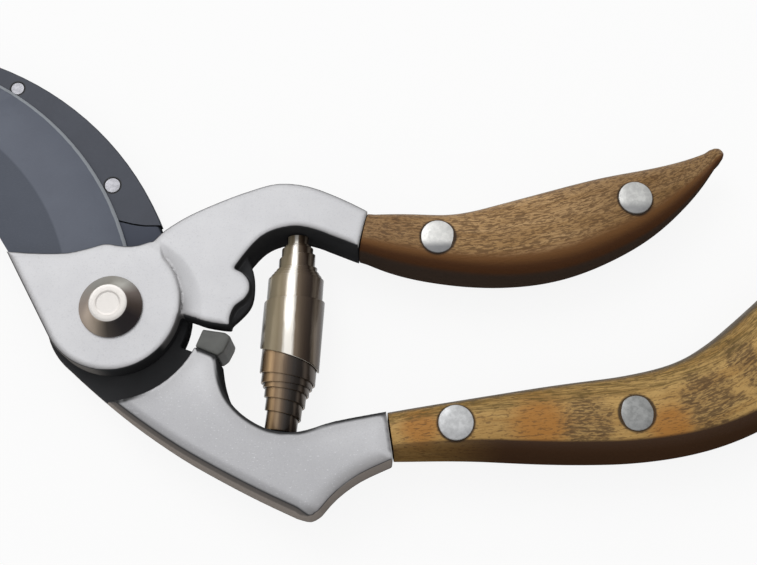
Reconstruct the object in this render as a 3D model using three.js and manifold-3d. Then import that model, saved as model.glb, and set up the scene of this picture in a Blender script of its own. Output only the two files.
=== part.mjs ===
// Bypass pruning shears with riveted wooden grips and a double volute spring.
// Millimetres. The pivot axis is Z and passes through the origin; the shears lie on their back on z = 0,
// closed, with the jaws towards -X and the grips towards +X.
import * as THREE from 'three';
import { mergeVertices } from 'three/addons/utils/BufferGeometryUtils.js';
import Module from 'manifold-3d';

const wasm = await Module();
wasm.setup();

// ---------- driving dimensions ----------

// Layers, from the surface that the shears lie on up to the face that shows.
const NUT_THICK = 2.4;
const PLATE_THICK = 6.8; // each forging where the two cross at the pivot
const SLIDE_GAP = 0.4; // between the two forgings, taken up by the washer
const RUN_GAP = 0.3; // between faces that slide past each other
const FIT_GAP = 0.1; // round a pressed or riveted piece

// Pivot.
const HUB_RADIUS = 16.3; // round plate of the lower forging
const HUB_CHAMFER = 0.6;
const DISC_RADIUS = 15.4; // round cheek of the upper forging
const DISC_OFFSET = [-0.2, 1.0]; // the cheek is not quite concentric with the bolt
const RECESS_RADIUS = 21.0; // hollow in the lower forging that the cheek turns in
const BOLT_SHANK_RADIUS = 4.0;
const BOLT_HEAD_RADIUS = 7.1;
const BOLT_CAP_RADIUS = 4.1;
const BOLT_HEAD_HEIGHT = 3.5;
const BOLT_DISH = 0.15; // shallow dish turned in the cap
const NUT_RADIUS = 6.5;
const NUT_WEB = 0.7; // closed floor of the nut
const NUT_KEY_HOLES = { radius: 0.7, offset: 5.3 };
const BUSH_WALL = 1.1;
const WASHER_RADIUS = 8.0;
const WASHER_THICK = 1.0;

// Jaws: three arcs that follow one radius, so that hook and blade stay a pair.
const JAW_RADIUS = 77.1; // outer edge of the hook
const HOOK_ROOT = { x: 9.53, y: 20.36, turn: 22.3 }; // where that edge leaves the neck
const EDGE_OFFSET = { x: -5.0, y: 4.2, radius: -5.9 }; // from the hook's arc to the cutting edge
const BEVEL_OFFSET = { x: 0.5, y: 2.3, radius: -15.4 }; // from the cutting edge to its broad bevel
const BYPASS = 3.2; // how far the closed blade passes over the hook
const BLADE_THICK = 3.0;
const EDGE_LAND = 0.2; // thickness left at the cutting edge
const EDGE_BEVEL = { width: 1.0, rise: 0.8 }; // the narrow final bevel
const BLADE_TIP_TURN = 75.5; // degrees round EDGE_ARC
const BLADE_ROOT_TURN = 16.0;
const BLADE_ROOT_RADIUS = 12.6;
const HOOK_TIP_TURN = 83; // degrees round HOOK_ARC
const HOOK_NOSE = 2.0; // blunt end of the beak
const HOOK_BEAK = { turn: 62, bendTurn: 77, bendInwards: 4.43 }; // inner edge near the tip
const HOOK_INNER_TURN = 17.5; // where the inner edge starts, at the hub
const CLAW_SHOULDER = [12.6, 14.6]; // where the claw meets the hub under the neck
const HOOK_BLADE_THICK = 2.9;
const HOOK_RIM = 0.5; // the hook blade stands this far out over the arm that carries it
const HOOK_RIVETS = [
  { turn: 34.72, inwards: 5.81, radius: 1.85 }, // from the outer edge of the hook
  { turn: 62.54, inwards: 3.17, radius: 1.6 },
];
const BLADE_SPINE = [
  { turn: 32.25, inwards: 26.03 }, // from the cutting edge
  { turn: 51.58, inwards: 22.44 },
  { turn: 67.18, inwards: 12.4 },
];

// Handles.
const TANG_THICK = 5.0;
const TANG_SHARE = 0.42; // of the grip's width
const TANG_END = 0.6; // of the grip's length
const GRIP_SQUARENESS = 3.1; // exponent of the grip's section, 2 is an ellipse
const RIVET_HEAD_RADIUS = 3.8;
const RIVET_SHANK_RADIUS = 2.1;
const RIVET_HEAD_HEIGHT = 1.3;
const RIVET_DOME = 0.35;
const EDGE_ROUND = 0.5; // soft edges of the forgings
const OUTER_CHAMFER = { size: 3.2, depth: 4.2 }; // the worn-looking lower edge of the lower forging

// Volute spring: two strips, each wound inwards from its wide outer end, the lower one inside the upper one.
// Heights are along the spring's axis; `far` is the edge towards a strip's small end, `near` the other one.
// Each pair is [turns from the outer end, height], with straight runs between the pairs.
const SPRING_THICK = 0.45;
const SPRING_COIL = 0.55; // each turn lies this far inside the one before
const UPPER_STRIP = {
  turns: 8.9,
  outside: 7.05,
  far: [[0, 2.2], [0.5, 3.2], [1, 8.0], [4.25, 10.5], [5.8, 15.4], [7.6, 16.6], [7.9, 18.4], [8.9, 18.7]],
  near: [[0, -8.5], [0.5, -13.0], [1, -5.5], [4.25, 0], [8.9, 14.0]],
};
const LOWER_STRIP = {
  turns: 5.9,
  outside: UPPER_STRIP.outside - SPRING_COIL,
  far: [[0, -14.2], [0.5, -16.0], [1, -16.6], [2, -17.5], [3, -19.6], [4.7, -24.6], [5, -27.0], [5.9, -27.4]],
  near: [[0, -6.3], [1, -7.0], [3, -11.0], [5.9, -21.5]],
};
const SPRING_AXIS = { x: 40.35, y: 0, tilt: 3.3, bend: 0.139 }; // degrees, and degrees less per mm upwards
const PEG_GAP = 0.4; // between a peg and the last turn round it
const PEG_IN_SPRING = 4;
const PEG_IN_FORGING = 3;

// Bumper between the heel of the upper forging and the post of the lower one.
const BUMPER_INSET = 1.2; // from each face of the forging
const BUMPER_PLUG_RADIUS = 1.3;
const BUMPER_PLUG = { x: 21.6, y: -8.4, length: 3.6, tilt: -20 }; // from inside the rubber down into the post

// Thumb lock on the back.
const LOCK_PIVOT = [20.8, -14.5];
const LOCK_STUD = [24.0, 0.0];
const LOCK_REST_TURN = 165; // degrees, direction of the lever while it is released
const LOCK_LEVER_THICK = 1.3;
const LOCK_STUD_RADIUS = 1.4;
const LOCK_STUD_ROOT = 3; // length of its riveted end in the upper forging
const LOCK_LIP = 1.6; // metal left round the mouth of the lever
const LOCK_BOSS_RADIUS = 2.8;
const LOCK_SHANK_RADIUS = 1.4;
const LOCK_SHANK_TOP = 6.6;

// ---------- heights worked out from them ----------

const BACK = NUT_THICK;
const LOWER_TOP = BACK + PLATE_THICK;
const UPPER_BOTTOM = LOWER_TOP + SLIDE_GAP;
const FRONT = UPPER_BOTTOM + PLATE_THICK;
const MID = (BACK + FRONT) / 2;
const BLADE_BOTTOM = UPPER_BOTTOM;
const BLADE_TOP = BLADE_BOTTOM + BLADE_THICK;
const HOOK_BLADE_TOP = LOWER_TOP + FIT_GAP;
const HOOK_SEAT = HOOK_BLADE_TOP - HOOK_BLADE_THICK;
const HOOK_ARC = {
  x: HOOK_ROOT.x - JAW_RADIUS * Math.cos((HOOK_ROOT.turn * Math.PI) / 180),
  y: HOOK_ROOT.y - JAW_RADIUS * Math.sin((HOOK_ROOT.turn * Math.PI) / 180),
  radius: JAW_RADIUS,
};
const offsetArc = (from, by) => ({ x: from.x + by.x, y: from.y + by.y, radius: from.radius + by.radius });
const EDGE_ARC = offsetArc(HOOK_ARC, EDGE_OFFSET);
const BEVEL_ARC = offsetArc(EDGE_ARC, BEVEL_OFFSET);
const BEYOND = 5; // how far a cutter runs past the face that it cuts
const FAR = 100; // past the whole outline, for cutters that take away a side of a piece

// Facets round a full turn: big plates, mid-size pivots, and small pins and holes.
const BIG_ROUND = 64;
const MID_ROUND = 36;
const SMALL_ROUND = 18;

// ---------- outlines ----------

const v2 = (p) => (p.isVector2 ? p : new THREE.Vector2(p[0], p[1]));
const rad = THREE.MathUtils.degToRad;

// A smooth line through a few points, as a dense list of points.
function curve(points, steps = 3) {
  return new THREE.SplineCurve(points.map(v2)).getPoints(steps * (points.length - 1));
}

// Points of a circular arc, with the angles in degrees.
function arc(centre, radius, from, to, step = 6) {
  const count = Math.max(2, Math.ceil(Math.abs(to - from) / step));
  return Array.from({ length: count + 1 }, (_, i) => {
    const a = rad(from + ((to - from) * i) / count);
    return new THREE.Vector2(centre[0] + radius * Math.cos(a), centre[1] + radius * Math.sin(a));
  });
}

// The point of one of the jaw arcs at an angle in degrees.
function onArc(jawArc, turn, inwards = 0) {
  const r = jawArc.radius - inwards;
  return [jawArc.x + r * Math.cos(rad(turn)), jawArc.y + r * Math.sin(rad(turn))];
}

// The point at an angle in degrees round the cheek, at a distance outside its edge.
const onDisc = (turn, outwards = 0) => onArc(
  { x: DISC_OFFSET[0], y: DISC_OFFSET[1], radius: DISC_RADIUS }, turn, -outwards,
);

const jawPoints = (jawArc, from, to, inwards = 0) =>
  arc([jawArc.x, jawArc.y], jawArc.radius - inwards, from, to, 3);

// Joins stretches of points and drops those that repeat.
function outline(...stretches) {
  const all = stretches.flat().map(v2);
  return all.filter((p, i) => p.distanceTo(all[(i + 1) % all.length]) > 0.02);
}

// Neck of the lower forging: outer edge from the hub down to the heel, then up to the grip.
const LOWER_OUTER = [
  [-11.6, -11.4], [-6.7, -15.8], [-0.7, -20.8], [6.5, -26.2], [15.5, -32.1], [24.3, -37.0], [33.2, -41.5],
  [41.5, -45.3],
];
const LOWER_HEEL = [
  [41.5, -45.3], [44.6, -46.0], [46.9, -44.8],
];
const LOWER_RISE = [
  [46.9, -44.8], [50.4, -40.9], [55.6, -37.1], [62.7, -33.8],
];
const LOWER_INNER = [
  [61.2, -23.4], [50.1, -25.5], [44.0, -27.4], [39.7, -27.9], [34.7, -26.9], [29.7, -23.9], [26.3, -20.0],
  [24.6, -15.5], [23.8, -11.0],
];
const POST_TOP = [
  [23.8, -11.0], [19.2, -9.1],
];
const HUB_FOOT = [14.6, -7.4]; // where the floor under the post runs into the hub

// Upper forging: cheek, neck and heel.
const HEEL_TURN = -9; // degrees round the cheek, where the heel's underside leaves it
const CHEEK_LEFT_TURN = -149; // where its round edge ends on the left
const NECK_NOTCH = onDisc(59.2, 1.6); // dip between the cheek's top edge and the neck
const CHEEK_CORNER = [-24.6, 13.2];
const CHEEK_TOP = [
  CHEEK_CORNER, [-17.0, 12.7], [-11.0, 12.8], [-6.1, 13.9], [-2.2, 15.0], [1.1, 14.5], [4.6, 14.5],
  NECK_NOTCH,
];
const UPPER_TOP = [
  NECK_NOTCH, [11.2, 18.3], [16.5, 21.8], [23.9, 25.3], [30.3, 27.8], [36.5, 29.5], [43.6, 28.8],
  [51.2, 25.8], [57.0, 22.8],
];
const UPPER_UNDER = [
  [54.9, 14.3], [50.1, 16.2], [45.3, 18.1], [40.8, 19.0], [36.5, 18.3], [33.1, 16.6], [30.2, 13.5],
  [27.1, 9.1],
];
const HEEL_LOBE = [
  [27.1, 9.1], [29.0, 8.2], [30.6, 6.2], [30.8, 3.9], [29.6, 1.8], [27.6, 0.2], [26.7, -2.0], [26.5, -4.2],
];
const HEEL_UNDER = [
  [26.5, -4.2], [24.4, -4.0], [21.0, -3.4], [18.4, -2.5], onDisc(HEEL_TURN),
];
const HEEL_BACK = [
  [29.2, 13.6], [30.9, 9.8], [31.4, 5.7], [30.9, 1.9], [29.2, -0.7], [26.4, -3.4],
]; // rounder outline of the heel's rear half, which has no notch
const NECK_START = [19.5, 22.8]; // the upper neck is full thickness from here to the grip
const NECK_START_UNDER = [28.0, 13.0];

// Flat end faces of the necks that the grips butt against, from the upper corner to the lower one.
const UPPER_JOINT = [UPPER_TOP[UPPER_TOP.length - 1], UPPER_UNDER[0]];
const LOWER_JOINT = [LOWER_INNER[0], LOWER_RISE[LOWER_RISE.length - 1]];

// Grips: matching points of the upper and lower edge, from the forging to the tip, and half thickness.
const UPPER_GRIP = {
  top: [[57.3, 23.4], [67.0, 23.1], [77.5, 23.1], [92.0, 27.0], [110.0, 31.9], [126.0, 35.2], [140.1, 40.2]],
  bottom: [[55.1, 13.4], [67.0, 9.6], [86.0, 7.3], [104.0, 9.5], [122.0, 18.0], [134.5, 29.4], [140.6, 38.8]],
  half: [7.2, 9.0, 9.1, 9.1, 8.7, 6.6, 1.6],
  rivets: [[72.9, 15.9], [117.9, 25.2]],
};
const LOWER_GRIP = {
  top: [[61.5, -22.8], [77.0, -20.4], [98.0, -16.9], [117.0, -14.1], [130.5, -9.2], [146.0, 3.4],
    [156.5, 13.2], [164.3, 20.6]],
  bottom: [[63.0, -33.3], [79.0, -33.0], [99.0, -33.9], [119.0, -33.4], [137.0, -29.6], [152.5, -21.3],
    [162.3, -6.0], [165.4, 18.6]],
  half: [7.2, 9.0, 9.1, 9.1, 9.0, 8.6, 6.6, 1.8],
  rivets: [[76.2, -26.2], [115.2, -24.2]],
};

// ---------- solids ----------

// A manifold-3d solid of a closed three.js geometry.
function solid(geometry) {
  const bare = geometry.index ? geometry.toNonIndexed() : geometry.clone();
  bare.deleteAttribute('normal');
  bare.deleteAttribute('uv');
  const merged = mergeVertices(bare, 1e-4);
  const mesh = new wasm.Mesh({
    numProp: 3,
    vertProperties: merged.attributes.position.array,
    triVerts: new Uint32Array(merged.index.array),
  });
  return new wasm.Manifold(mesh);
}

// Drops the points that crowd a sharp corner, so that a rounded edge of this size can go round it.
function clearCorners(points, size) {
  const count = points.length;
  const sharp = points.filter((p, i) => {
    const before = p.clone().sub(points[(i + count - 1) % count]);
    const after = points[(i + 1) % count].clone().sub(p);
    return before.angleTo(after) > rad(35);
  });
  return points.filter((p) => sharp.includes(p) || sharp.every((q) => p.distanceTo(q) > 1.7 * size));
}

// An outline raised from z = low to z = high, with its edges rounded off by `edge`.
function slab(points, low, high, edge = 0, steps = 2) {
  const size = edge.size ?? edge;
  const depth = edge.depth ?? edge;
  const geometry = new THREE.ExtrudeGeometry(new THREE.Shape(clearCorners(points, size)), {
    depth: high - low - 2 * depth,
    bevelEnabled: size > 0,
    bevelSize: size,
    bevelOffset: -size,
    bevelThickness: depth,
    bevelSegments: steps,
  });
  return solid(geometry.translate(0, 0, low + depth));
}

// A round solid about a vertical axis at (x, y), from a profile of [radius, z] that runs from axis to axis.
function turned(profile, x = 0, y = 0, segments = SMALL_ROUND) {
  const geometry = new THREE.LatheGeometry(profile.map(v2), segments);
  return solid(geometry.rotateX(Math.PI / 2).translate(x, y, 0));
}

// A plain round pin or hole.
function pin(x, y, radius, low, high, segments = SMALL_ROUND) {
  return turned([[0, low], [radius, low], [radius, high], [0, high]], x, y, segments);
}

// A closed ring of one profile per station, with flat ends: rows[i] is a list of Vector3.
function loft(rows) {
  const around = rows[0].length;
  const position = rows.flat().flatMap((p) => [p.x, p.y, p.z]);
  const index = [];
  for (let i = 0; i + 1 < rows.length; i++) {
    for (let j = 0; j < around; j++) {
      const a = i * around + j;
      const b = i * around + ((j + 1) % around);
      index.push(a, b, a + around, b, b + around, a + around);
    }
  }
  const last = (rows.length - 1) * around;
  for (let j = 1; j + 1 < around; j++) {
    index.push(0, j + 1, j);
    index.push(last, last + j, last + j + 1);
  }
  const geometry = new THREE.BufferGeometry();
  geometry.setAttribute('position', new THREE.Float32BufferAttribute(position, 3));
  geometry.setIndex(index);
  return solid(geometry);
}

const materials = {
  casting: { color: 0xc9c9cd, roughness: 0.45, metalness: 0.9 },
  blade: { color: 0x5c636d, roughness: 0.5, metalness: 0.7 },
  bolt: { color: 0xb09078, roughness: 0.25, metalness: 1.0 },
  spring: { color: 0x9a875f, roughness: 0.25, metalness: 1.0 },
  rivet: { color: 0xc8c8ca, roughness: 0.35, metalness: 0.9 },
  bronze: { color: 0x9c7440, roughness: 0.4, metalness: 1.0 },
  rubber: { color: 0x6a6c68, roughness: 0.9, metalness: 0.0 },
  steel: { color: 0x8d9094, roughness: 0.35, metalness: 1.0 },
  upperWood: { color: 0x82603b, roughness: 0.55, metalness: 0.0 },
  lowerWood: { color: 0xa5824b, roughness: 0.55, metalness: 0.0 },
};

// One named sub-part of the assembly.
function piece(name, body, finish) {
  const mesh = body.getMesh();
  const geometry = new THREE.BufferGeometry();
  geometry.setAttribute('position', new THREE.BufferAttribute(mesh.vertProperties, 3));
  geometry.setIndex(new THREE.BufferAttribute(mesh.triVerts, 1));
  geometry.computeVertexNormals();
  const part = new THREE.Mesh(geometry, new THREE.MeshStandardMaterial(materials[finish]));
  part.name = name;
  return part;
}

// Which way a neck points at its joint.
function outOfJoint([top, bottom], length) {
  const face = v2(top).clone().sub(v2(bottom));
  return new THREE.Vector2(face.y, -face.x).setLength(length);
}

// A short run of the neck past its joint, cut off again, so that the soft edges end in a crisp flat face.
function endStub(joint) {
  const [top, bottom] = joint.map((p) => v2(p).clone().add(outOfJoint(joint, 3 * EDGE_ROUND)));
  return joint === UPPER_JOINT ? [top, bottom] : [bottom, top];
}

function pastJoint(joint) {
  const face = v2(joint[0]).clone().sub(v2(joint[1])).setLength(BEYOND);
  const top = v2(joint[0]).clone().add(face);
  const bottom = v2(joint[1]).clone().sub(face);
  const out = outOfJoint(joint, BEYOND);
  return slab([bottom, bottom.clone().add(out), top.clone().add(out), top], 0, FRONT + BEYOND);
}

// ---------- grips ----------

// The place on a grip at t from 0 (forging) to 1 (tip) and at a share from -1 (lower edge) to 1 (upper edge).
function gripPoint(grip, t, share) {
  const top = new THREE.SplineCurve(grip.top.map(v2)).getPoint(t);
  const bottom = new THREE.SplineCurve(grip.bottom.map(v2)).getPoint(t);
  return bottom.lerp(top, (share + 1) / 2);
}

function gripHalf(grip, t) {
  const last = grip.half.length - 1;
  return new THREE.SplineCurve(grip.half.map((h, i) => new THREE.Vector2(i / last, h))).getPoint(t).y;
}

// One wooden scale: side is 1 for the front one and -1 for the back one.
function gripScale(grip, side) {
  const stations = 18;
  const around = 9;
  const rows = [];
  for (let i = 0; i <= stations; i++) {
    const t = i / stations;
    const height = gripHalf(grip, t);
    const row = [];
    for (let j = 0; j <= around; j++) {
      const a = (Math.PI * j) / around;
      const across = Math.sign(Math.cos(a)) * Math.abs(Math.cos(a)) ** (2 / GRIP_SQUARENESS);
      const up = Math.abs(Math.sin(a)) ** (2 / GRIP_SQUARENESS);
      const place = gripPoint(grip, t, across);
      row.push(new THREE.Vector3(place.x, place.y, MID + side * (FIT_GAP / 2 + up * (height - FIT_GAP / 2))));
    }
    rows.push(side > 0 ? row : row.reverse());
  }
  let scale = loft(rows).subtract(tang(grip, FIT_GAP, RUN_GAP));
  for (const [x, y] of grip.rivets) {
    scale = scale.subtract(gripRivet(x, y, FIT_GAP));
  }
  return scale;
}

// The flat tang inside a grip, or the pocket for it with a clearance round it.
function tang(grip, clearance = 0, endClearance = 0) {
  const steps = 12;
  const edge = (sign) => Array.from({ length: steps + 1 }, (_, i) => {
    const t = (TANG_END * i) / steps;
    const axis = gripPoint(grip, t, 0);
    const rim = gripPoint(grip, t, sign * TANG_SHARE);
    const out = rim.clone().sub(axis).setLength(clearance);
    return rim.add(out);
  });
  const upper = edge(1);
  const lower = edge(-1);
  const along = gripPoint(grip, 0.05, 0).sub(gripPoint(grip, 0, 0)).setLength(BEYOND);
  const start = [upper[0].clone().sub(along), lower[0].clone().sub(along)];
  const before = gripPoint(grip, TANG_END - 0.05, 0);
  const onwards = gripPoint(grip, TANG_END, 0).sub(before).setLength(endClearance);
  const end = [upper[steps].clone().add(onwards), lower[steps].clone().add(onwards)];
  const points = outline([start[0]], upper, endClearance ? end : [], lower.reverse(), [start[1]]);
  return slab(points, MID - TANG_THICK / 2 - clearance, MID + TANG_THICK / 2 + clearance);
}

// A domed two-headed rivet through a grip; with a clearance it is the hole for one.
function gripRivet(x, y, clearance = 0) {
  const head = RIVET_HEAD_RADIUS + clearance;
  const shank = RIVET_SHANK_RADIUS + clearance;
  const rim = MID - RIVET_DOME;
  const neck = rim - RIVET_HEAD_HEIGHT - clearance;
  const half = [[shank, neck], [head, neck], [head, rim], [head * 0.6, MID - RIVET_DOME * 0.3], [0, MID]];
  const up = half.map(([r, h]) => [r, MID + h]);
  const down = half.map(([r, h]) => [r, MID - h]).reverse();
  return turned([...down, ...up], x, y);
}

// ---------- lower forging and what it carries ----------

const LOWER_HUB_TURN = 32; // degrees, where the hook arm leaves the hub on the right
const HOOK_STEP = [
  [-1.4, 22.9], [2.3, 22.0], [5.0, 21.6], [9.6, 21.6],
]; // lower end of the hook blade
const HOOK_STEP_RISE = 12; // how far that end climbs on towards the jaws, under the cutting blade

// Hook arm or hook blade: a claw between the outer arc and an inner arc under the blade.
function hookOutline(rim) {
  const outer = jawPoints(HOOK_ARC, HOOK_ROOT.turn, HOOK_TIP_TURN, rim);
  const inner = jawPoints(EDGE_ARC, HOOK_BEAK.turn, HOOK_INNER_TURN, BYPASS + rim);
  const tip = outer[outer.length - 1].clone().add(new THREE.Vector2(-0.4, rim - HOOK_NOSE));
  const [bendX, bendY] = onArc(HOOK_ARC, HOOK_BEAK.bendTurn, HOOK_BEAK.bendInwards);
  const beak = curve([tip, [bendX + rim, bendY - rim / 2], inner[0]]);
  return { outer, inner: [...beak, ...inner] };
}

function lowerArm() {
  const { outer, inner } = hookOutline(HOOK_RIM);
  const root = [onArc({ x: 0, y: 0, radius: HUB_RADIUS - 0.2 }, LOWER_HUB_TURN), CLAW_SHOULDER];
  const plate = slab(outline(root, outer, inner, [[0, 0]]), BACK, LOWER_TOP, 0.6, 1);
  const [stepLeft, stepRight] = [HOOK_STEP[0][1] + HOOK_STEP_RISE, HOOK_STEP[3][1]];
  const above = outline(HOOK_STEP, [[FAR, stepRight], [FAR, FAR], [-FAR, FAR], [-FAR, stepLeft]]);
  return plate.subtract(slab(above, HOOK_SEAT - FIT_GAP, FRONT));
}

function lowerNeck() {
  const back = outline(
    curve(LOWER_OUTER), curve(LOWER_HEEL), curve(LOWER_RISE), endStub(LOWER_JOINT), curve(LOWER_INNER),
    POST_TOP, [HUB_FOOT, [-7.0, -3.0]],
  );
  const neck = slab(back, BACK, FRONT, EDGE_ROUND);
  const [heelX, heelY] = LOWER_HEEL[1];
  const pastHeel = [[heelX, heelY - 1.5], [heelX + 4, heelY - 3.5]];
  const chamfered = outline(
    curve(LOWER_OUTER), pastHeel, [[FAR, -FAR], [FAR, FAR], [-FAR, FAR], [-FAR, 2.6]],
  );
  const broad = slab(chamfered, BACK - 2 * BEYOND, FRONT, OUTER_CHAMFER, 3);
  return neck.intersect(broad).subtract(pastJoint(LOWER_JOINT));
}

function lowerBody() {
  const hub = turned(
    [[0, BACK], [HUB_RADIUS - HUB_CHAMFER, BACK], [HUB_RADIUS, BACK + HUB_CHAMFER],
      [HUB_RADIUS, LOWER_TOP], [0, LOWER_TOP]],
    0, 0, BIG_ROUND,
  );
  const recess = turned([[0, LOWER_TOP], [RECESS_RADIUS, LOWER_TOP], [RECESS_RADIUS, FRONT + BEYOND],
    [0, FRONT + BEYOND]], 0, 0, BIG_ROUND);
  const peg = springPeg(LOWER_STRIP, -1);
  let body = lowerNeck().subtract(recess).add(hub).add(lowerArm()).add(tang(LOWER_GRIP)).add(peg);
  body = body.subtract(pin(0, 0, BOLT_SHANK_RADIUS + FIT_GAP, 0, FRONT));
  body = body.subtract(pin(0, 0, WASHER_RADIUS + FIT_GAP, LOWER_TOP - WASHER_THICK, FRONT, MID_ROUND));
  for (const rivet of HOOK_RIVETS) {
    body = body.subtract(hookRivet(rivet, FIT_GAP));
  }
  for (const [x, y] of LOWER_GRIP.rivets) {
    body = body.subtract(gripRivet(x, y, FIT_GAP));
  }
  const [lockX, lockY] = LOCK_PIVOT;
  body = body.subtract(pin(lockX, lockY, LOCK_SHANK_RADIUS + FIT_GAP, 0, LOCK_SHANK_TOP + FIT_GAP));
  return body.subtract(bumperPlug(FIT_GAP));
}

function hookBlade() {
  const { outer, inner } = hookOutline(0);
  const claw = slab(outline([CLAW_SHOULDER], outer, inner, [[0, 10]]), HOOK_SEAT, HOOK_BLADE_TOP, 0.25, 1);
  const step = HOOK_STEP.map(([x, y]) => [x, y + FIT_GAP]);
  const left = [-FAR, step[0][1] + HOOK_STEP_RISE];
  const below = outline([left], step, [[FAR, step[3][1]], [FAR, -FAR], [-FAR, -FAR]]);
  let blade = claw.subtract(slab(below, 0, FRONT));
  for (const rivet of HOOK_RIVETS) {
    blade = blade.subtract(hookRivet(rivet, FIT_GAP));
  }
  return blade;
}

// A flush rivet through the hook blade and the arm, with a countersunk head on each face.
function hookRivet({ turn, inwards, radius }, clearance = 0) {
  const [x, y] = onArc(HOOK_ARC, turn, inwards);
  const head = radius + clearance;
  const shank = radius * 0.7 + clearance;
  const sink = radius * 0.5;
  const top = HOOK_BLADE_TOP;
  const back = [[0, BACK], [head, BACK], [shank, BACK + sink]];
  return turned([...back, [shank, top - sink], [head, top], [0, top]], x, y);
}

// ---------- pivot ----------

function pivotBolt() {
  const seat = FRONT + FIT_GAP;
  const top = seat + BOLT_HEAD_HEIGHT;
  return turned([
    [0, NUT_WEB + FIT_GAP],
    [BOLT_SHANK_RADIUS, NUT_WEB + FIT_GAP],
    [BOLT_SHANK_RADIUS, seat],
    [BOLT_HEAD_RADIUS, seat],
    [BOLT_HEAD_RADIUS, seat + 0.5],
    [BOLT_CAP_RADIUS + 0.25, top - 0.15],
    [BOLT_CAP_RADIUS - 0.3, top],
    [BOLT_CAP_RADIUS * 0.67, top],
    [BOLT_CAP_RADIUS * 0.6, top - BOLT_DISH],
    [0, top - BOLT_DISH],
  ], 0, 0, MID_ROUND);
}

// Closed round nut with two blind holes for a pin wrench.
function pivotNut() {
  const bore = BOLT_SHANK_RADIUS + FIT_GAP;
  const chamfer = 0.4;
  const outside = [[0, 0], [NUT_RADIUS - chamfer, 0], [NUT_RADIUS, chamfer], [NUT_RADIUS, BACK]];
  const inside = [[bore, BACK], [bore, NUT_WEB], [0, NUT_WEB]];
  let nut = turned([...outside, ...inside], 0, 0, MID_ROUND);
  for (const side of [-1, 1]) {
    nut = nut.subtract(pin(side * NUT_KEY_HOLES.offset, 0, NUT_KEY_HOLES.radius, -1, NUT_WEB + 0.6, 12));
  }
  return nut;
}

// A flat ring round the bolt's shank.
function boltRing(outer, low, high) {
  const inner = BOLT_SHANK_RADIUS + FIT_GAP;
  const section = [[inner, low], [outer, low], [outer, high], [inner, high], [inner, low]];
  return turned(section, 0, 0, MID_ROUND);
}

const pivotBush = () => boltRing(BOLT_SHANK_RADIUS + FIT_GAP + BUSH_WALL, UPPER_BOTTOM, FRONT);

const pivotWasher = () => boltRing(WASHER_RADIUS, LOWER_TOP - WASHER_THICK, LOWER_TOP + FIT_GAP);

// ---------- upper forging and what it carries ----------

// Flat root of the cutting blade; with a clearance it is the pocket for it, open towards the jaws.
function bladeRoot(clearance, low, high) {
  const spine = bladeSpine().getPoint(0);
  const [edgeX, edgeY] = onArc(EDGE_ARC, BLADE_ROOT_TURN);
  const round = arc([0, 0], BLADE_ROOT_RADIUS + clearance, 207, 400);
  const blade = [[edgeX, edgeY - 2], [edgeX, edgeY], [edgeX - 4, edgeY + 0.5], [spine.x, spine.y]];
  const right = edgeX + 5 * clearance;
  const left = spine.x - BEYOND;
  const pocket = [[right, edgeY - 1], [right, 2 * edgeY], [left, 2 * edgeY], [left, spine.y]];
  return slab(outline(round, clearance > 0 ? pocket : blade), low, high);
}

function bladeSpine() {
  const middle = BLADE_SPINE.map(({ turn, inwards }) => onArc(EDGE_ARC, turn, inwards));
  return new THREE.SplineCurve([CHEEK_CORNER, ...middle, onArc(EDGE_ARC, BLADE_TIP_TURN)].map(v2));
}

// Cutting blade: flat sliding face, full thickness along the spine, a broad bevel and a narrow final one.
function cuttingBlade() {
  const stations = 26;
  const spineCurve = bladeSpine();
  const rows = [];
  for (let i = 0; i <= stations; i++) {
    const t = (0.985 * i) / stations;
    const spine = spineCurve.getPoint(t);
    const edge = v2(onArc(EDGE_ARC, BLADE_ROOT_TURN + (BLADE_TIP_TURN - BLADE_ROOT_TURN) * t));
    const width = edge.distanceTo(spine);
    const along = (share) => spine.clone().lerp(edge, share);
    const bevel = along(Math.max(0.06, bevelShare(spine, edge)));
    const narrow = along(1 - Math.min(EDGE_BEVEL.width / width, 0.4));
    const thin = Math.min(1, width / 9);
    const at = (p, z) => new THREE.Vector3(p.x, p.y, z);
    rows.push([
      at(spine, BLADE_BOTTOM + BLADE_THICK * (0.3 + 0.7 * thin)),
      at(bevel, BLADE_BOTTOM + BLADE_THICK * (0.35 + 0.65 * thin)),
      at(narrow, BLADE_BOTTOM + EDGE_LAND + EDGE_BEVEL.rise * thin),
      at(edge, BLADE_BOTTOM + EDGE_LAND),
      at(edge, BLADE_BOTTOM),
      at(spine, BLADE_BOTTOM),
    ]);
  }
  const root = bladeRoot(0, BLADE_BOTTOM, BLADE_TOP);
  const bore = pin(0, 0, BOLT_SHANK_RADIUS + BUSH_WALL + 2 * FIT_GAP, 0, FRONT, MID_ROUND);
  let blade = loft(rows).add(root).subtract(bore);
  for (const [x, y] of BLADE_PINS) {
    blade = blade.subtract(pin(x, y, BLADE_PIN_RADIUS + FIT_GAP, 0, FRONT));
  }
  return blade;
}

// Where the line from the spine to the edge crosses the arc on which the broad bevel starts.
function bevelShare(spine, edge) {
  const centre = new THREE.Vector2(BEVEL_ARC.x, BEVEL_ARC.y);
  const way = edge.clone().sub(spine);
  const from = spine.clone().sub(centre);
  const b = from.dot(way) / way.lengthSq();
  const c = (from.lengthSq() - BEVEL_ARC.radius ** 2) / way.lengthSq();
  return -b + Math.sqrt(Math.max(0, b * b - c));
}

// Two blind dowels under the cheek keep the blade from turning on the forging.
const BLADE_PIN_RADIUS = 1.2;
const BLADE_PIN_RISE = 2; // into the cheek
const BLADE_PINS = [[-9.2, 4.6], [-2.6, 9.9]];

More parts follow.
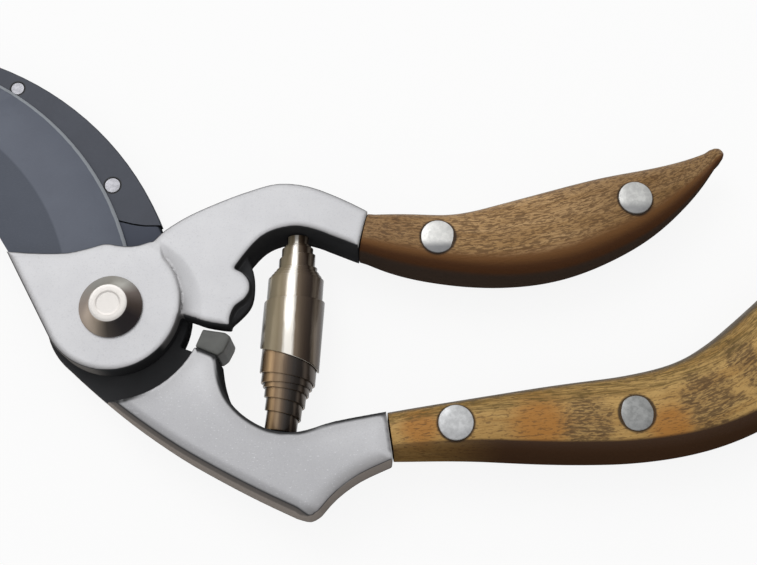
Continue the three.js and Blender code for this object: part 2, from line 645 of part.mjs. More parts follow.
function bladePins([x, y]) {
  return pin(x, y, BLADE_PIN_RADIUS, BLADE_BOTTOM + FIT_GAP, BLADE_TOP + BLADE_PIN_RISE);
}

// The neck sinks behind the raised rim of the cheek, deeper lower down, and rises again towards the grip.
const CHEEK_STEP = { turn: 59, fall: 0.7, rise: 1.3, reach: 6, tilt: 3.5 };

function cheekStep() {
  const { turn, fall, rise, reach, tilt } = CHEEK_STEP;
  const inner = DISC_RADIUS + 0.1;
  const profile = [[inner, -fall], [inner + reach, rise], [inner + reach, BEYOND], [inner, BEYOND],
    [inner, -fall]];
  const level = turned(profile, 0, 0, BIG_ROUND);
  const ring = level.rotate([tilt, 0, 0]).rotate([0, 0, turn]).translate([...DISC_OFFSET, FRONT]);
  const behind = [onDisc(58.6, 2.6), onDisc(3.8, -0.2), onDisc(-42.5, 3.9), [40, -12], [40, 40], [4, 40]];
  const side = slab(outline(behind), 0, 2 * FRONT);
  return ring.intersect(side);
}

function upperBody() {
  const disc = arc(DISC_OFFSET, DISC_RADIUS, HEEL_TURN, CHEEK_LEFT_TURN, 5);
  const front = outline(
    curve(CHEEK_TOP), curve(UPPER_TOP), endStub(UPPER_JOINT), curve(UPPER_UNDER), curve(HEEL_LOBE),
    curve(HEEL_UNDER), disc,
  );
  const face = slab(front, UPPER_BOTTOM, FRONT, EDGE_ROUND);
  const lobe = outline(curve(HEEL_BACK), [[20.0, -2.9], onDisc(HEEL_TURN - 0.5, 0.4), [14, 8], [24, 14]]);
  const heel = slab(lobe, UPPER_BOTTOM, UPPER_BOTTOM + 0.55 * PLATE_THICK, 0.5, 1);
  const neckTop = curve(UPPER_TOP).filter((p) => p.x > NECK_START[0]);
  const neckUnder = curve(UPPER_UNDER).filter((p) => p.x > NECK_START_UNDER[0] + 1);
  const full = outline([NECK_START], neckTop, endStub(UPPER_JOINT), neckUnder, [NECK_START_UNDER]);
  const neck = slab(full, BACK, FRONT, EDGE_ROUND);
  let body = face.add(heel).add(neck).subtract(cheekStep()).subtract(pastJoint(UPPER_JOINT));
  body = body.add(tang(UPPER_GRIP)).add(springPeg(UPPER_STRIP, 1));
  body = body.subtract(bladeRoot(RUN_GAP, 0, BLADE_TOP + FIT_GAP));
  body = body.subtract(pin(0, 0, BOLT_SHANK_RADIUS + BUSH_WALL + 2 * FIT_GAP, 0, FRONT + BEYOND, MID_ROUND));
  for (const [x, y] of BLADE_PINS) {
    body = body.subtract(pin(x, y, BLADE_PIN_RADIUS + FIT_GAP, 0, BLADE_TOP + BLADE_PIN_RISE + FIT_GAP));
  }
  for (const [x, y] of UPPER_GRIP.rivets) {
    body = body.subtract(gripRivet(x, y, FIT_GAP));
  }
  const [x, y] = LOCK_STUD;
  return body.subtract(pin(x, y, LOCK_STUD_RADIUS * 0.7 + FIT_GAP, 0, UPPER_BOTTOM + LOCK_STUD_ROOT));
}

// ---------- spring, bumper, lock ----------

// A point on the spring: height along its bent axis, distance from it, and turn round it.
function springPlace(height, radius, angle) {
  const lean = rad(SPRING_AXIS.tilt - SPRING_AXIS.bend * height);
  const middleLean = rad(SPRING_AXIS.tilt - (SPRING_AXIS.bend * height) / 2);
  const side = radius * Math.cos(angle);
  return new THREE.Vector3(
    SPRING_AXIS.x + height * Math.sin(middleLean) + side * Math.cos(lean),
    SPRING_AXIS.y + height * Math.cos(middleLean) - side * Math.sin(lean),
    MID + radius * Math.sin(angle),
  );
}

// The height of a strip's edge after some turns, from its pairs of turns and height.
function edgeHeight(pairs, turns) {
  const next = Math.max(1, pairs.findIndex(([t]) => t >= turns));
  const [[t0, h0], [t1, h1]] = [pairs[next - 1], pairs[next]];
  return THREE.MathUtils.mapLinear(turns, t0, t1, h0, h1);
}

// One strip, from its outer end on the left inwards, first over the front.
function springStrip(strip) {
  const perTurn = 12;
  const rows = [];
  for (let i = 0; i <= Math.round(strip.turns * perTurn); i++) {
    const turns = Math.min(i / perTurn, strip.turns);
    const radius = strip.outside - SPRING_COIL * turns;
    const [far, near] = [edgeHeight(strip.far, turns), edgeHeight(strip.near, turns)];
    const angle = Math.PI * (1 - 2 * turns);
    const inside = radius - SPRING_THICK;
    const corners = [[far, radius], [far, inside], [near, inside], [near, radius]];
    const row = corners.map(([height, r]) => springPlace(height, r, angle));
    rows.push(far > near ? row.reverse() : row);
  }
  return loft(rows);
}

// Peg inside the small end of a strip: side is 1 at the upper forging and -1 at the lower one.
function springPeg(strip, side) {
  const end = strip.far[strip.far.length - 1][1];
  const radius = strip.outside - SPRING_COIL * strip.turns - SPRING_THICK - PEG_GAP;
  const peg = new THREE.CylinderGeometry(radius, radius, PEG_IN_SPRING + PEG_IN_FORGING, SMALL_ROUND);
  peg.translate(0, (side * (PEG_IN_FORGING - PEG_IN_SPRING)) / 2, 0);
  peg.rotateZ(-rad(SPRING_AXIS.tilt - SPRING_AXIS.bend * end));
  const seat = springPlace(end, 0, 0);
  peg.translate(seat.x, seat.y, seat.z);
  return solid(peg);
}

// Rubber block on the post that the heel closes against.
function bumper() {
  const crown = curve([[20.4, -4.7], [23.0, -5.1], [25.5, -5.5], [26.6, -6.3]]);
  const seat = [[25.2, -9.9], [23.9, -10.9], [19.2, POST_TOP[1][1] + FIT_GAP]];
  const points = outline(crown, [[26.4, -7.4]], seat, [[18.9, -8.5]]);
  return slab(points, BACK + BUMPER_INSET, FRONT - BUMPER_INSET, 0.5, 2).add(bumperPlug(0));
}

// Stem of the bumper, pressed down into the post.
function bumperPlug(clearance) {
  const radius = BUMPER_PLUG_RADIUS + clearance;
  const length = BUMPER_PLUG.length + clearance;
  const plug = new THREE.CylinderGeometry(radius, radius, length, SMALL_ROUND);
  plug.translate(0, -length / 2, 0);
  plug.rotateZ(rad(BUMPER_PLUG.tilt));
  plug.translate(BUMPER_PLUG.x, BUMPER_PLUG.y, MID);
  return solid(plug);
}

function lockLever() {
  const stud = Math.hypot(LOCK_STUD[0] - LOCK_PIVOT[0], LOCK_STUD[1] - LOCK_PIVOT[1]);
  const mouth = LOCK_STUD_RADIUS + RUN_GAP;
  const width = mouth + LOCK_LIP;
  const low = NUT_THICK - RUN_GAP - LOCK_LEVER_THICK;
  const high = low + LOCK_LEVER_THICK;
  const points = outline(
    arc([0, 0], LOCK_BOSS_RADIUS, 130, 250, 12),
    [[stud - width - 1, -1.8], [stud - mouth - 0.8, -2.4], [stud - mouth, -1.5], [stud - mouth, 0]],
    arc([stud, 0], mouth, 180, 0, 15),
    [[stud + mouth, -width * 0.7]],
    arc([stud, 0], width, -20, 115, 12),
  );
  const bore = pin(0, 0, LOCK_SHANK_RADIUS + FIT_GAP, 0, FRONT);
  return slab(points, low, high, 0.2, 1).subtract(bore);
}

// Shoulder rivet that the lock lever turns on.
function lockPivot() {
  const head = 0.1;
  const under = NUT_THICK - RUN_GAP - LOCK_LEVER_THICK - FIT_GAP;
  const top = LOCK_SHANK_TOP;
  const profile = [[0, head], [LOCK_SHANK_RADIUS + 1.0, head], [LOCK_SHANK_RADIUS + 1.3, under],
    [LOCK_SHANK_RADIUS, under], [LOCK_SHANK_RADIUS, top], [0, top]];
  return turned(profile, LOCK_PIVOT[0], LOCK_PIVOT[1]);
}

function lockStud() {
  const low = NUT_THICK - RUN_GAP - LOCK_LEVER_THICK;
  const shoulder = UPPER_BOTTOM - FIT_GAP;
  const root = LOCK_STUD_RADIUS * 0.7;
  const profile = [[0, low], [LOCK_STUD_RADIUS - 0.2, low], [LOCK_STUD_RADIUS, low + 0.2],
    [LOCK_STUD_RADIUS, shoulder], [root, shoulder], [root, UPPER_BOTTOM + LOCK_STUD_ROOT],
    [0, UPPER_BOTTOM + LOCK_STUD_ROOT]];
  return turned(profile, LOCK_STUD[0], LOCK_STUD[1]);
}

// ---------- assembly ----------

const shears = new THREE.Group();

const lowerHalf = new THREE.Group();
lowerHalf.add(piece('lower_body', lowerBody(), 'casting'));
lowerHalf.add(piece('hook_blade', hookBlade(), 'blade'));
HOOK_RIVETS.forEach((rivet, i) => {
  lowerHalf.add(piece(`hook_rivet_${i + 1}`, hookRivet(rivet), 'rivet'));
});
lowerHalf.add(piece('lower_scale_front', gripScale(LOWER_GRIP, 1), 'lowerWood'));
lowerHalf.add(piece('lower_scale_back', gripScale(LOWER_GRIP, -1), 'lowerWood'));
LOWER_GRIP.rivets.forEach(([x, y], i) => {
  lowerHalf.add(piece(`lower_grip_rivet_${i + 1}`, gripRivet(x, y), 'rivet'));
});
lowerHalf.add(piece('bumper', bumper(), 'rubber'));
lowerHalf.add(piece('volute_spring', springStrip(UPPER_STRIP), 'spring'));
lowerHalf.add(piece('volute_spring_lower', springStrip(LOWER_STRIP), 'spring'));
lowerHalf.add(piece('pivot_bolt', pivotBolt(), 'bolt'));
lowerHalf.add(piece('pivot_nut', pivotNut(), 'steel'));
lowerHalf.add(piece('pivot_washer', pivotWasher(), 'bronze'));
lowerHalf.add(piece('lock_pivot', lockPivot(), 'steel'));
shears.add(lowerHalf);

const upperHalf = new THREE.Group();
upperHalf.add(piece('upper_body', upperBody(), 'casting'));
upperHalf.add(piece('cutting_blade', cuttingBlade(), 'blade'));
BLADE_PINS.forEach((place, i) => {
  upperHalf.add(piece(`blade_pin_${i + 1}`, bladePins(place), 'steel'));
});
upperHalf.add(piece('pivot_bush', pivotBush(), 'bronze'));
upperHalf.add(piece('upper_scale_front', gripScale(UPPER_GRIP, 1), 'upperWood'));
upperHalf.add(piece('upper_scale_back', gripScale(UPPER_GRIP, -1), 'upperWood'));
UPPER_GRIP.rivets.forEach(([x, y], i) => {
  upperHalf.add(piece(`upper_grip_rivet_${i + 1}`, gripRivet(x, y), 'rivet'));
});
upperHalf.add(piece('lock_stud', lockStud(), 'steel'));
shears.add(upperHalf);

const lever = piece('lock_lever', lockLever(), 'steel');
lever.position.set(LOCK_PIVOT[0], LOCK_PIVOT[1], 0);
lever.rotation.z = rad(LOCK_REST_TURN);
shears.add(lever);

export default shears;
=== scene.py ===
import math

import bmesh
import bpy
import numpy as np
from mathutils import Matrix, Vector
from mathutils.bvhtree import BVHTree
from mathutils.kdtree import KDTree

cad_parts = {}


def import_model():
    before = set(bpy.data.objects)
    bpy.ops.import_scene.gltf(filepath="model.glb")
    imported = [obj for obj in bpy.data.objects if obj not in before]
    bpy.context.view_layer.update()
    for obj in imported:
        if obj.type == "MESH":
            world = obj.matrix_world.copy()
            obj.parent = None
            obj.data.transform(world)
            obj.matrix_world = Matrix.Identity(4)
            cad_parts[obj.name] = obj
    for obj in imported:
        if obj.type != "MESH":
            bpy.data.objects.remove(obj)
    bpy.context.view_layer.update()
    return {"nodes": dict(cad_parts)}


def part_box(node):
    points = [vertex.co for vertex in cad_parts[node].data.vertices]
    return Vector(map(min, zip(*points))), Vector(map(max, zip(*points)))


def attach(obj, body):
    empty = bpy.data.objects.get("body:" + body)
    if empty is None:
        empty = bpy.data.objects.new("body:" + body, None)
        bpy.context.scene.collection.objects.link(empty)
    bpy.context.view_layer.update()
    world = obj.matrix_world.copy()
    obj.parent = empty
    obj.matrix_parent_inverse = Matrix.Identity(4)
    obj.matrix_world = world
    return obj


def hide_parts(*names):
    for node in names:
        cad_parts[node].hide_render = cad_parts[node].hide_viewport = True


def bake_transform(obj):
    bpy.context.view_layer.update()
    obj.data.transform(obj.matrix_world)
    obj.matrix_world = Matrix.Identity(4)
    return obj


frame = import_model()
scene = bpy.context.scene
MM = 0.001
UP = Vector((0, 0, 1))

# ---------- sizes ----------

WELD = 0.002 * MM
FORGING = {"voxel": 0.3 * MM, "rounds": 4}  # fineness, and rounds of smoothing
RUBBER = {"voxel": 0.25 * MM, "rounds": 8}
EDGE_BREAK = 0.08 * MM  # the fine bevel on ground and stamped edges
EDGE_FROM = 32  # degrees between faces that an edge is broken from
FLAT_WITHIN = 0.4  # degrees between facets that are made one face
TURNED_FILLET = 0.16 * MM
ROUND_STEPS = 112  # facets round a turned piece

GRIP_STEP = 0.8 * MM  # between sections of a grip
GRIP_MOST = 400  # sections at most
GRIP_THINNEST = 2.6 * MM  # the sections end where the grip is no wider, and a rounded tip follows
GRIP_LIFT = 0.6 * MM  # off the joint between the scales, where its sides are measured
GRIP_OUTSIDE = 45 * MM  # from its middle, well outside the grip
GRIP_AROUND = 96  # points round a section
GRIP_SOFTEN = {"along": 2.6 * MM, "around": 6.0}  # spread that melts the facets, the second in degrees
GRIP_SEAM = 0.04 * MM  # each half stands this far from the joint between them
GRIP_START = 0.12 * MM  # the first section stands this far inside the skin
BORE_RIM = 0.6  # round a rivet's head, where the skin is bridged, in millimetres
TIP_ANGLES = (20, 40, 58, 74, 86)  # of the sections that round the tip, in degrees
TIP_LENGTH = 1.5  # times its mean half width

BOLT_FILLET = 0.3 * MM
DISH_DEPTH = 0.3 * MM  # a turned piece's dish is shallower than this
DISH_FILLED = 0.75  # share of the dish in the bolt's cap, which the photo shows only faintly

FRONT_FACE = 16.4  # height of the forgings' front faces, in millimetres
CHEEK = {"centre": (-0.2, 1.0), "radius": 15.4}  # the cheek's rim, in millimetres, as in the source
CHEEK_FALL = {"from": 0.15, "reach": 7.0, "deepest": 4.0, "soften": 0.4}  # the sunk neck beside it
RIM_REACH = 4.0  # how far from an outline the rim attribute counts, in millimetres
RIM_ROUNDS = 6  # of averaging over its neighbours
RIM_STEEP = 0.45  # a wall's normal rises less than this

# The blade's cutting edge and the start of its broad bevel are arcs. Millimetres, as in the model's source.
EDGE_ARC = {"centre": (-66.8, -4.7, 0), "radius": 71.2}
BEVEL_ARC = {"centre": (-66.3, -2.4, 0), "radius": 55.8}

# The spring's two strips, as in the model's source. Millimetres, and each edge's stops are
# (turns from the wide end, height along the axis).
SPRING_THICK = 0.45
SPRING_ROUND = 0.12  # on the strips' edges
SPRING_COIL = 0.55  # each turn lies this far inside the one before
SPRING_PER_TURN = 72
SPRING_AXIS = {"x": 40.35, "tilt": 3.3, "bend": 0.139}  # degrees, and degrees less per mm upwards
SPRING_STRIPS = {
    "volute_spring": {
        "turns": 8.9, "outside": 7.05,
        "far": [(0, 2.2), (0.5, 3.2), (1, 8.0), (4.25, 10.5), (5.8, 15.4), (7.6, 16.6), (7.9, 18.4),
                (8.9, 18.7)],
        "near": [(0, -8.5), (0.5, -13.0), (1, -5.5), (4.25, 0), (8.9, 14.0)],
    },
    "volute_spring_lower": {
        "turns": 5.9, "outside": 6.5,
        "far": [(0, -14.2), (0.5, -16.0), (1, -16.6), (2, -17.5), (3, -19.6), (4.7, -24.6), (5, -27.0),
                (5.9, -27.4)],
        "near": [(0, -6.3), (1, -7.0), (3, -11.0), (5.9, -21.5)],
    },
}

# Painted light and shade on each grip rivet's head: its darker and lighter tone as lit and seen on screen,
#  and how much painted shade darkens its -Y side.
HEAD_LIGHT_SHADE = {
    "upper_1": ((214, 214, 211), (232, 231, 228), 0.9),
    "upper_2": ((192, 192, 190), (212, 212, 209), 0.7),
    "lower_1": ((186, 187, 188), (206, 207, 208), 0.3),
    "lower_2": ((138, 139, 138), (160, 161, 160), 0.2),
}

# Camera: looks down on the front, tipped towards the grips' lower side.
CAMERA_TARGET = Vector((59.544, 7.732, 9.5)) * MM
CAMERA_TILT = math.radians(16.5)
CAMERA_DISTANCE = 273.7 * MM
CAMERA_LENS = 56.6

# The floor is partly lit by itself where it is seen, so that it is white and its shadows are faint.
FLOOR_GLOW = 0.88  # share of its own light
FLOOR_WHITE = 1.0
FLOOR_TONE = (0.93, 0.93, 0.93, 1)
FLOOR_HALF = 3.0
FLOOR_DROP = 0.05 * MM  # under the shears, so that nothing lies in its plane

# The world is bright towards one side and dim away from it, and its lamps are (name, place, width, watts).
BRIGHT_SIDE = (-0.5, 0.55, 0.67)
WORLD_LEVELS = (("From Min", -0.5), ("From Max", 0.8), ("To Min", 0.24), ("To Max", 0.68))
LAMPS = (("key", (-0.2, 0.4, 0.7), 0.45, 1.35), ("fill", (0.06, -0.02, 0.9), 1.1, 1.2))

# ---------- material nodes ----------


class Graph:
    """A material's node tree, built by short calls. Lengths in the textures are millimetres."""

    def __init__(self, name):
        self.material = bpy.data.materials.new(name)
        self.material.use_nodes = True
        self.tree = self.material.node_tree
        self.shader = self.tree.nodes["Principled BSDF"]
        place = self.node("ShaderNodeTexCoord").outputs["Object"]
        self.place = self.scaled(place, (1000, 1000, 1000))

    def node(self, kind, inputs=None, **settings):
        made = self.tree.nodes.new(kind)
        for key, value in settings.items():
            setattr(made, key, value)
        for key, value in (inputs or {}).items():
            self.set(made.inputs[key], value)
        return made

    def set(self, socket, value):
        if isinstance(value, bpy.types.NodeSocket):
            self.tree.links.new(value, socket)
        else:
            socket.default_value = value

    def scaled(self, vector, by):
        return self.node("ShaderNodeMapping", {"Vector": vector, "Scale": by}).outputs["Vector"]

    def math(self, operation, a, b=0.0, clamp=False):
        made = self.node("ShaderNodeMath", {0: a, 1: b}, operation=operation, use_clamp=clamp)
        return made.outputs[0]

    def noise(self, vector, scale, detail=4.0, rough=0.55, warp=0.0):
        made = self.node("ShaderNodeTexNoise", {
            "Vector": vector, "Scale": scale, "Detail": detail, "Roughness": rough, "Distortion": warp})
        return made.outputs["Fac"]

    def attribute(self, name, output="Fac"):
        return self.node("ShaderNodeAttribute", attribute_name=name).outputs[output]

    def split(self, vector, axis):
        return self.node("ShaderNodeSeparateXYZ", {0: vector}).outputs[axis]

    def dot(self, vector, towards):
        made = self.node("ShaderNodeVectorMath", {0: vector, 1: towards}, operation="DOT_PRODUCT")
        return made.outputs["Value"]

    def facing(self, towards):
        """How squarely the surface faces a direction of the piece's own frame, from -1 to 1."""
        return self.dot(self.node("ShaderNodeTexCoord").outputs["Normal"], towards)

    def away_from(self, x, y):
        """Distance in millimetres from an upright axis."""
        flat = self.scaled(self.place, (1, 1, 0))
        made = self.node("ShaderNodeVectorMath", {0: flat, 1: (x, y, 0)}, operation="DISTANCE")
        return made.outputs["Value"]

    def tones(self, value, stops):
        """A colour that runs through stops of (value from 0 to 1, colour)."""
        made = self.node("ShaderNodeValToRGB", {"Fac": value})
        elements = made.color_ramp.elements
        while len(elements) < len(stops):
            elements.new(1.0)
        for element, (place, colour) in zip(elements, stops):
            element.position = place
            element.color = colour
        return made.outputs["Color"]

    def ramp(self, value, low, high, to_low=0.0, to_high=1.0):
        made = self.node("ShaderNodeMapRange", {
            "Value": value, "From Min": low, "From Max": high, "To Min": to_low, "To Max": to_high},
            interpolation_type="SMOOTHSTEP")
        return made.outputs[0]

    def mix(self, share, a, b):
        made = self.node("ShaderNodeMix", {0: share, 6: a, 7: b}, data_type="RGBA")
        return made.outputs[2]

    def height(self, value, depth, strength=1.0):
        """Bumps the surface by value, 0 to 1, over a depth in millimetres."""
        made = self.node("ShaderNodeBump", {"Height": value, "Distance": depth * MM, "Strength": strength})
        self.set(self.shader.inputs["Normal"], made.outputs["Normal"])

    def finish(self, **sockets):
        for key, value in sockets.items():
            self.set(self.shader.inputs[key.replace("_", " ")], value)
        return self.material


def rgb(red, green, blue):
    """A colour given as it looks on screen, 0 to 255, turned into scene light."""
    def linear(c):
        c /= 255
        return c / 12.92 if c <= 0.04045 else ((c + 0.055) / 1.055) ** 2.4
    return (linear(red), linear(green), linear(blue), 1.0)


def ground_face(g, to_rim, edge_shade_share, edge_shade_width, shaded):
    """Colour of the ground satin faces: grain and specks, light flecks as painted glints, painted shade
    towards -Y and the jaws, and painted shade along the edges.
    """
    cloud = g.noise(g.place, 0.16, 3)
    speck = g.noise(g.place, 2.6, 3, 0.6)
    grain = g.noise(g.place, 7.0, 3, 0.7)
    face = g.mix(cloud, rgb(197, 197, 200), rgb(211, 211, 213))
    # painted shade: the faces darken towards -Y and the jaws by the given share
    towards_jaws = g.math("ADD", g.split(g.place, "Y"), g.math("MULTIPLY", g.split(g.place, "X"), 0.35))
    face = g.mix(g.ramp(towards_jaws, -5, -20, 0, shaded), face, rgb(150, 150, 154))
    face = g.mix(g.ramp(speck, 0.52, 0.75, 0, 0.22), face, rgb(144, 144, 150))
    face = g.mix(g.ramp(grain, 0.5, 0.75, 0, 0.2), face, rgb(240, 240, 243))
    # painted glints: light flecks, most towards -Y
    glint_flecks = g.noise(g.scaled(g.place, (1.0, 1.8, 1.0)), 1.9, 2, 0.5)
    glint_flecks = g.math("MULTIPLY", g.ramp(glint_flecks, 0.62, 0.72, 0, 0.4), g.ramp(g.split(g.place, "Y"), -10, -20))
    face = g.mix(glint_flecks, face, rgb(238, 238, 242))
    # painted shade along the edges, within a given width of the outline, most on edges facing one way
    return g.mix(g.math("MULTIPLY", g.ramp(to_rim, edge_shade_width, 0), edge_shade_share), face, rgb(104, 101, 100))


def forged_wall(g, level):
    """Colour of the dark walls, also painted shade in the recesses, light where a wall meets a grip's end
    and shows above it.
    """
    wall = g.mix(g.noise(g.place, 0.16, 3), rgb(52, 53, 54), rgb(66, 66, 68))
    joint = g.math("MULTIPLY", g.ramp(g.facing((1, 0, 0)), 0.3, 0.6), g.ramp(g.split(g.place, "X"), 50, 53))
    return g.mix(g.math("MULTIPLY", joint, g.ramp(level, 14, 15.4)), wall, rgb(190, 190, 190))


def casting(name, ground_above, light_shade_way, lit_wall_from, lit_wall_tone, edge_shade_width, shaded=0.0):
    """Forged alloy: ground satin faces above a height, dark walls, painted shade in the recesses below that
    height, and painted light on the walls turned one way. The faces have painted shade towards -Y and the
    jaws by the share shaded, and painted shade over a given width in millimetres along the edges, most
    where they face that way. The rim attribute holds the distance to the outline and the way there. Gives
    the graph, and for the forging's own touches the rim, the faces' colour and share, the walls' colour,
    and the lit walls' colour and share."""
    g = Graph(name)
    upright = g.facing((0, 0, 1))
    level = g.split(g.place, "Z")
    rim = g.attribute("rim", "Vector")
    # faces below the height take the dark wall colour: painted shade in the recesses
    front = g.math("MULTIPLY", g.ramp(upright, 0.7, 0.95), g.ramp(level, ground_above - 0.9, ground_above))
    ground = g.math("MAXIMUM", front, g.ramp(upright, -0.8, -0.95))
    outward = g.dot(rim, (0, light_shade_way[0], light_shade_way[1]))
    face = ground_face(g, g.split(rim, "X"), g.ramp(outward, -0.1, 0.8, 0.22, 0.72), edge_shade_width, shaded)
    wall = forged_wall(g, level)
    # painted light: walls turned the given way are lighter, and darker lower down
    lit_wall_side = g.ramp(g.facing(light_shade_way), lit_wall_from, lit_wall_from + 0.3)
    side = g.math("MULTIPLY", lit_wall_side, g.ramp(upright, 0.75, 0.4))
    speck = g.noise(g.place, 2.6, 3, 0.6)
    lit_wall = g.mix(g.math("MULTIPLY", speck, 0.6), lit_wall_tone, rgb(110, 102, 96))
    lit_wall = g.mix(g.ramp(level, 4.6, 3.4), lit_wall, rgb(92, 87, 85))
    lines = g.noise(g.scaled(g.place, (0.5, 5.0, 1.0)), 1.6, 4, 0.6)
    g.height(g.math("ADD", g.math("MULTIPLY", speck, 0.6), g.math("MULTIPLY", lines, 0.4)), 0.03, 0.5)
    g.finish(
        Metallic=g.ramp(ground, 0, 1, 0, 0.35), Specular_IOR_Level=g.ramp(ground, 0, 1, 0, 0.5),
        Roughness=g.math("ADD", g.ramp(ground, 0, 1, 0.52, 0.4), g.math("MULTIPLY", lines, 0.1)))
    return g, rim, face, ground, wall, lit_wall, side


def lower_casting(name, slate_beyond):
    """The back forging. It is blue-grey beyond a Y, on the claw's arm, and a dark line runs along the inner
    edge of its neck."""
    g, rim, face, ground, wall, lit_wall, side = casting(
        name, 15.2, (-0.35, -0.94, 0), 0.08, rgb(166, 157, 150), 4.0, 0.42)
    inward = g.dot(rim, (0, 0.5, 0.87))
    inner = g.math("MULTIPLY", g.ramp(g.split(rim, "X"), 1.15, 0.55), g.ramp(inward, 0.5, 0.75))
    # painted light on the walls turned down and to the left
    wall = g.mix(side, wall, lit_wall)
    arm = g.ramp(g.split(g.place, "Y"), slate_beyond - 0.4, slate_beyond)
    slate = g.mix(g.ramp(g.facing((0, 0, 1)), 0.6, 0.9), rgb(40, 43, 48), rgb(84, 88, 99))
    wall = g.mix(arm, wall, slate)
    return g.finish(Base_Color=g.mix(ground, wall, g.mix(inner, face, rgb(34, 34, 35))))


def upper_casting(name):
    """The front forging. The wall at the rim of its cheek is light where the neck sinks beside it, with
    painted shade darkening it towards -Y, and the neck has painted shade towards the rim."""
    g, _, face, ground, wall, lit_wall, side = casting(
        name, 14.2, (-0.88, -0.47, 0), 0.35, rgb(120, 118, 116), 1.7)
    across, along, level = (g.split(g.place, axis) for axis in "XYZ")
    # painted light on the walls turned down and to the left, only left of the cheek's middle
    wall = g.mix(g.math("MULTIPLY", side, g.ramp(across, 2, -5)), wall, lit_wall)
    off_rim = g.math("SUBTRACT", g.away_from(*CHEEK["centre"]), CHEEK["radius"])
    beside = g.math("MULTIPLY", g.ramp(across, 5, 8), g.ramp(along, -9.5, -8))
    raised = g.math("MULTIPLY", g.ramp(g.math("ABSOLUTE", off_rim), 1.2, 0.8), g.ramp(level, 12.4, 13))
    # painted shade: the light wall at the cheek's rim darkens towards -Y
    rim_tone = g.mix(g.ramp(along, 8, -3), rgb(196, 195, 196), rgb(118, 116, 116))
    wall = g.mix(g.math("MULTIPLY", raised, beside), wall, rim_tone)
    # painted shade on the sunk neck beside the cheek's rim, stronger towards -Y
    hollow_shade = g.math("MULTIPLY", g.ramp(off_rim, 4.0, 0.2), g.ramp(off_rim, -0.2, 0.3))
    hollow_shade = g.math("MULTIPLY", g.math("MULTIPLY", hollow_shade, beside), g.ramp(along, 6, -4, 0.08, 0.72))
    face = g.mix(hollow_shade, face, rgb(110, 108, 108))
    return g.finish(Base_Color=g.mix(ground, wall, face))


def hook_steel(name, rivets):
    """Blue-grey steel of the claw, with a dark ring round each rivet. Rivets are (x, y, radius)."""
    g = Graph(name)
    lines = g.noise(g.scaled(g.place, (1.2, 9.0, 1.0)), 1.1, 5, 0.65)
    cloud = g.noise(g.place, 0.12, 3, 0.5, 0.4)
    colour = g.mix(cloud, rgb(54, 58, 68), rgb(65, 69, 80))
    colour = g.mix(g.ramp(lines, 0.5, 0.75, 0, 0.3), colour, rgb(88, 92, 103))
    colour = g.mix(g.ramp(g.facing((0, 0, 1)), 0.85, 0.6), colour, rgb(46, 49, 54))
    for x, y, radius in rivets:
        ring = g.ramp(g.away_from(x, y), radius + 0.5, radius + 0.25)
        colour = g.mix(ring, colour, rgb(22, 23, 26))
    g.height(lines, 0.012, 0.4)
    return g.finish(Base_Color=colour, Metallic=0.2, Roughness=g.ramp(lines, 0.3, 0.7, 0.45, 0.58))


def cutting_steel(name):
    """Blue-grey coated steel: a lighter broad bevel, a bright ground edge with a painted highlight along it,
    and fine grinding lines.
    """
    g = Graph(name)
    lines = g.noise(g.scaled(g.place, (1.2, 7.0, 1.0)), 1.1, 5, 0.65)
    cloud = g.noise(g.place, 0.1, 3, 0.5, 0.4)
    stain = g.noise(g.place, 0.5, 4, 0.6)
    inner = g.mix(cloud, rgb(57, 63, 76), rgb(69, 75, 88))
    outer = g.mix(cloud, rgb(80, 85, 98), rgb(91, 97, 110))
    bevelled = g.away_from(*BEVEL_ARC["centre"][:2])
    colour = g.mix(g.ramp(bevelled, BEVEL_ARC["radius"] - 0.3, BEVEL_ARC["radius"] + 0.3), inner, outer)
    colour = g.mix(g.ramp(stain, 0.55, 0.75, 0, 0.25), colour, rgb(74, 80, 90))
    colour = g.mix(g.ramp(lines, 0.5, 0.75, 0, 0.25), colour, rgb(116, 122, 131))
    # the bright ground edge, with a painted highlight along it
    keen_highlight = g.math("ADD", g.away_from(*EDGE_ARC["centre"][:2]), g.math("MULTIPLY", stain, 0.25))
    keen_highlight = g.ramp(keen_highlight, EDGE_ARC["radius"] - 0.75, EDGE_ARC["radius"] - 0.55)
    colour = g.mix(keen_highlight, colour, rgb(150, 155, 161))
    colour = g.mix(g.ramp(g.facing((0, 0, 1)), 0.7, 0.4), colour, rgb(60, 64, 70))
    g.height(lines, 0.012, 0.4)
    return g.finish(Base_Color=colour, Metallic=0.2, Roughness=g.ramp(lines, 0.3, 0.7, 0.43, 0.55))


def spring_strip_metal(name, stops):
    """Polished strip with a painted reflection: its tone, with painted highlights and shade, runs across from
    the left side, 0, over the front to the right side, 1.
    """
    g = Graph(name)
    streaks = g.noise(g.scaled(g.place, (6.0, 0.35, 6.0)), 1.0, 3, 0.6)
    share = g.math("ADD", g.math("MULTIPLY", g.facing((1, 0, 0)), 0.5), 0.5)
    share = g.math("ADD", share, g.math("MULTIPLY", g.math("SUBTRACT", streaks, 0.5), 0.05))
    colour = g.tones(share, stops)
    return g.finish(Base_Color=colour, Metallic=0.35, Roughness=0.24)


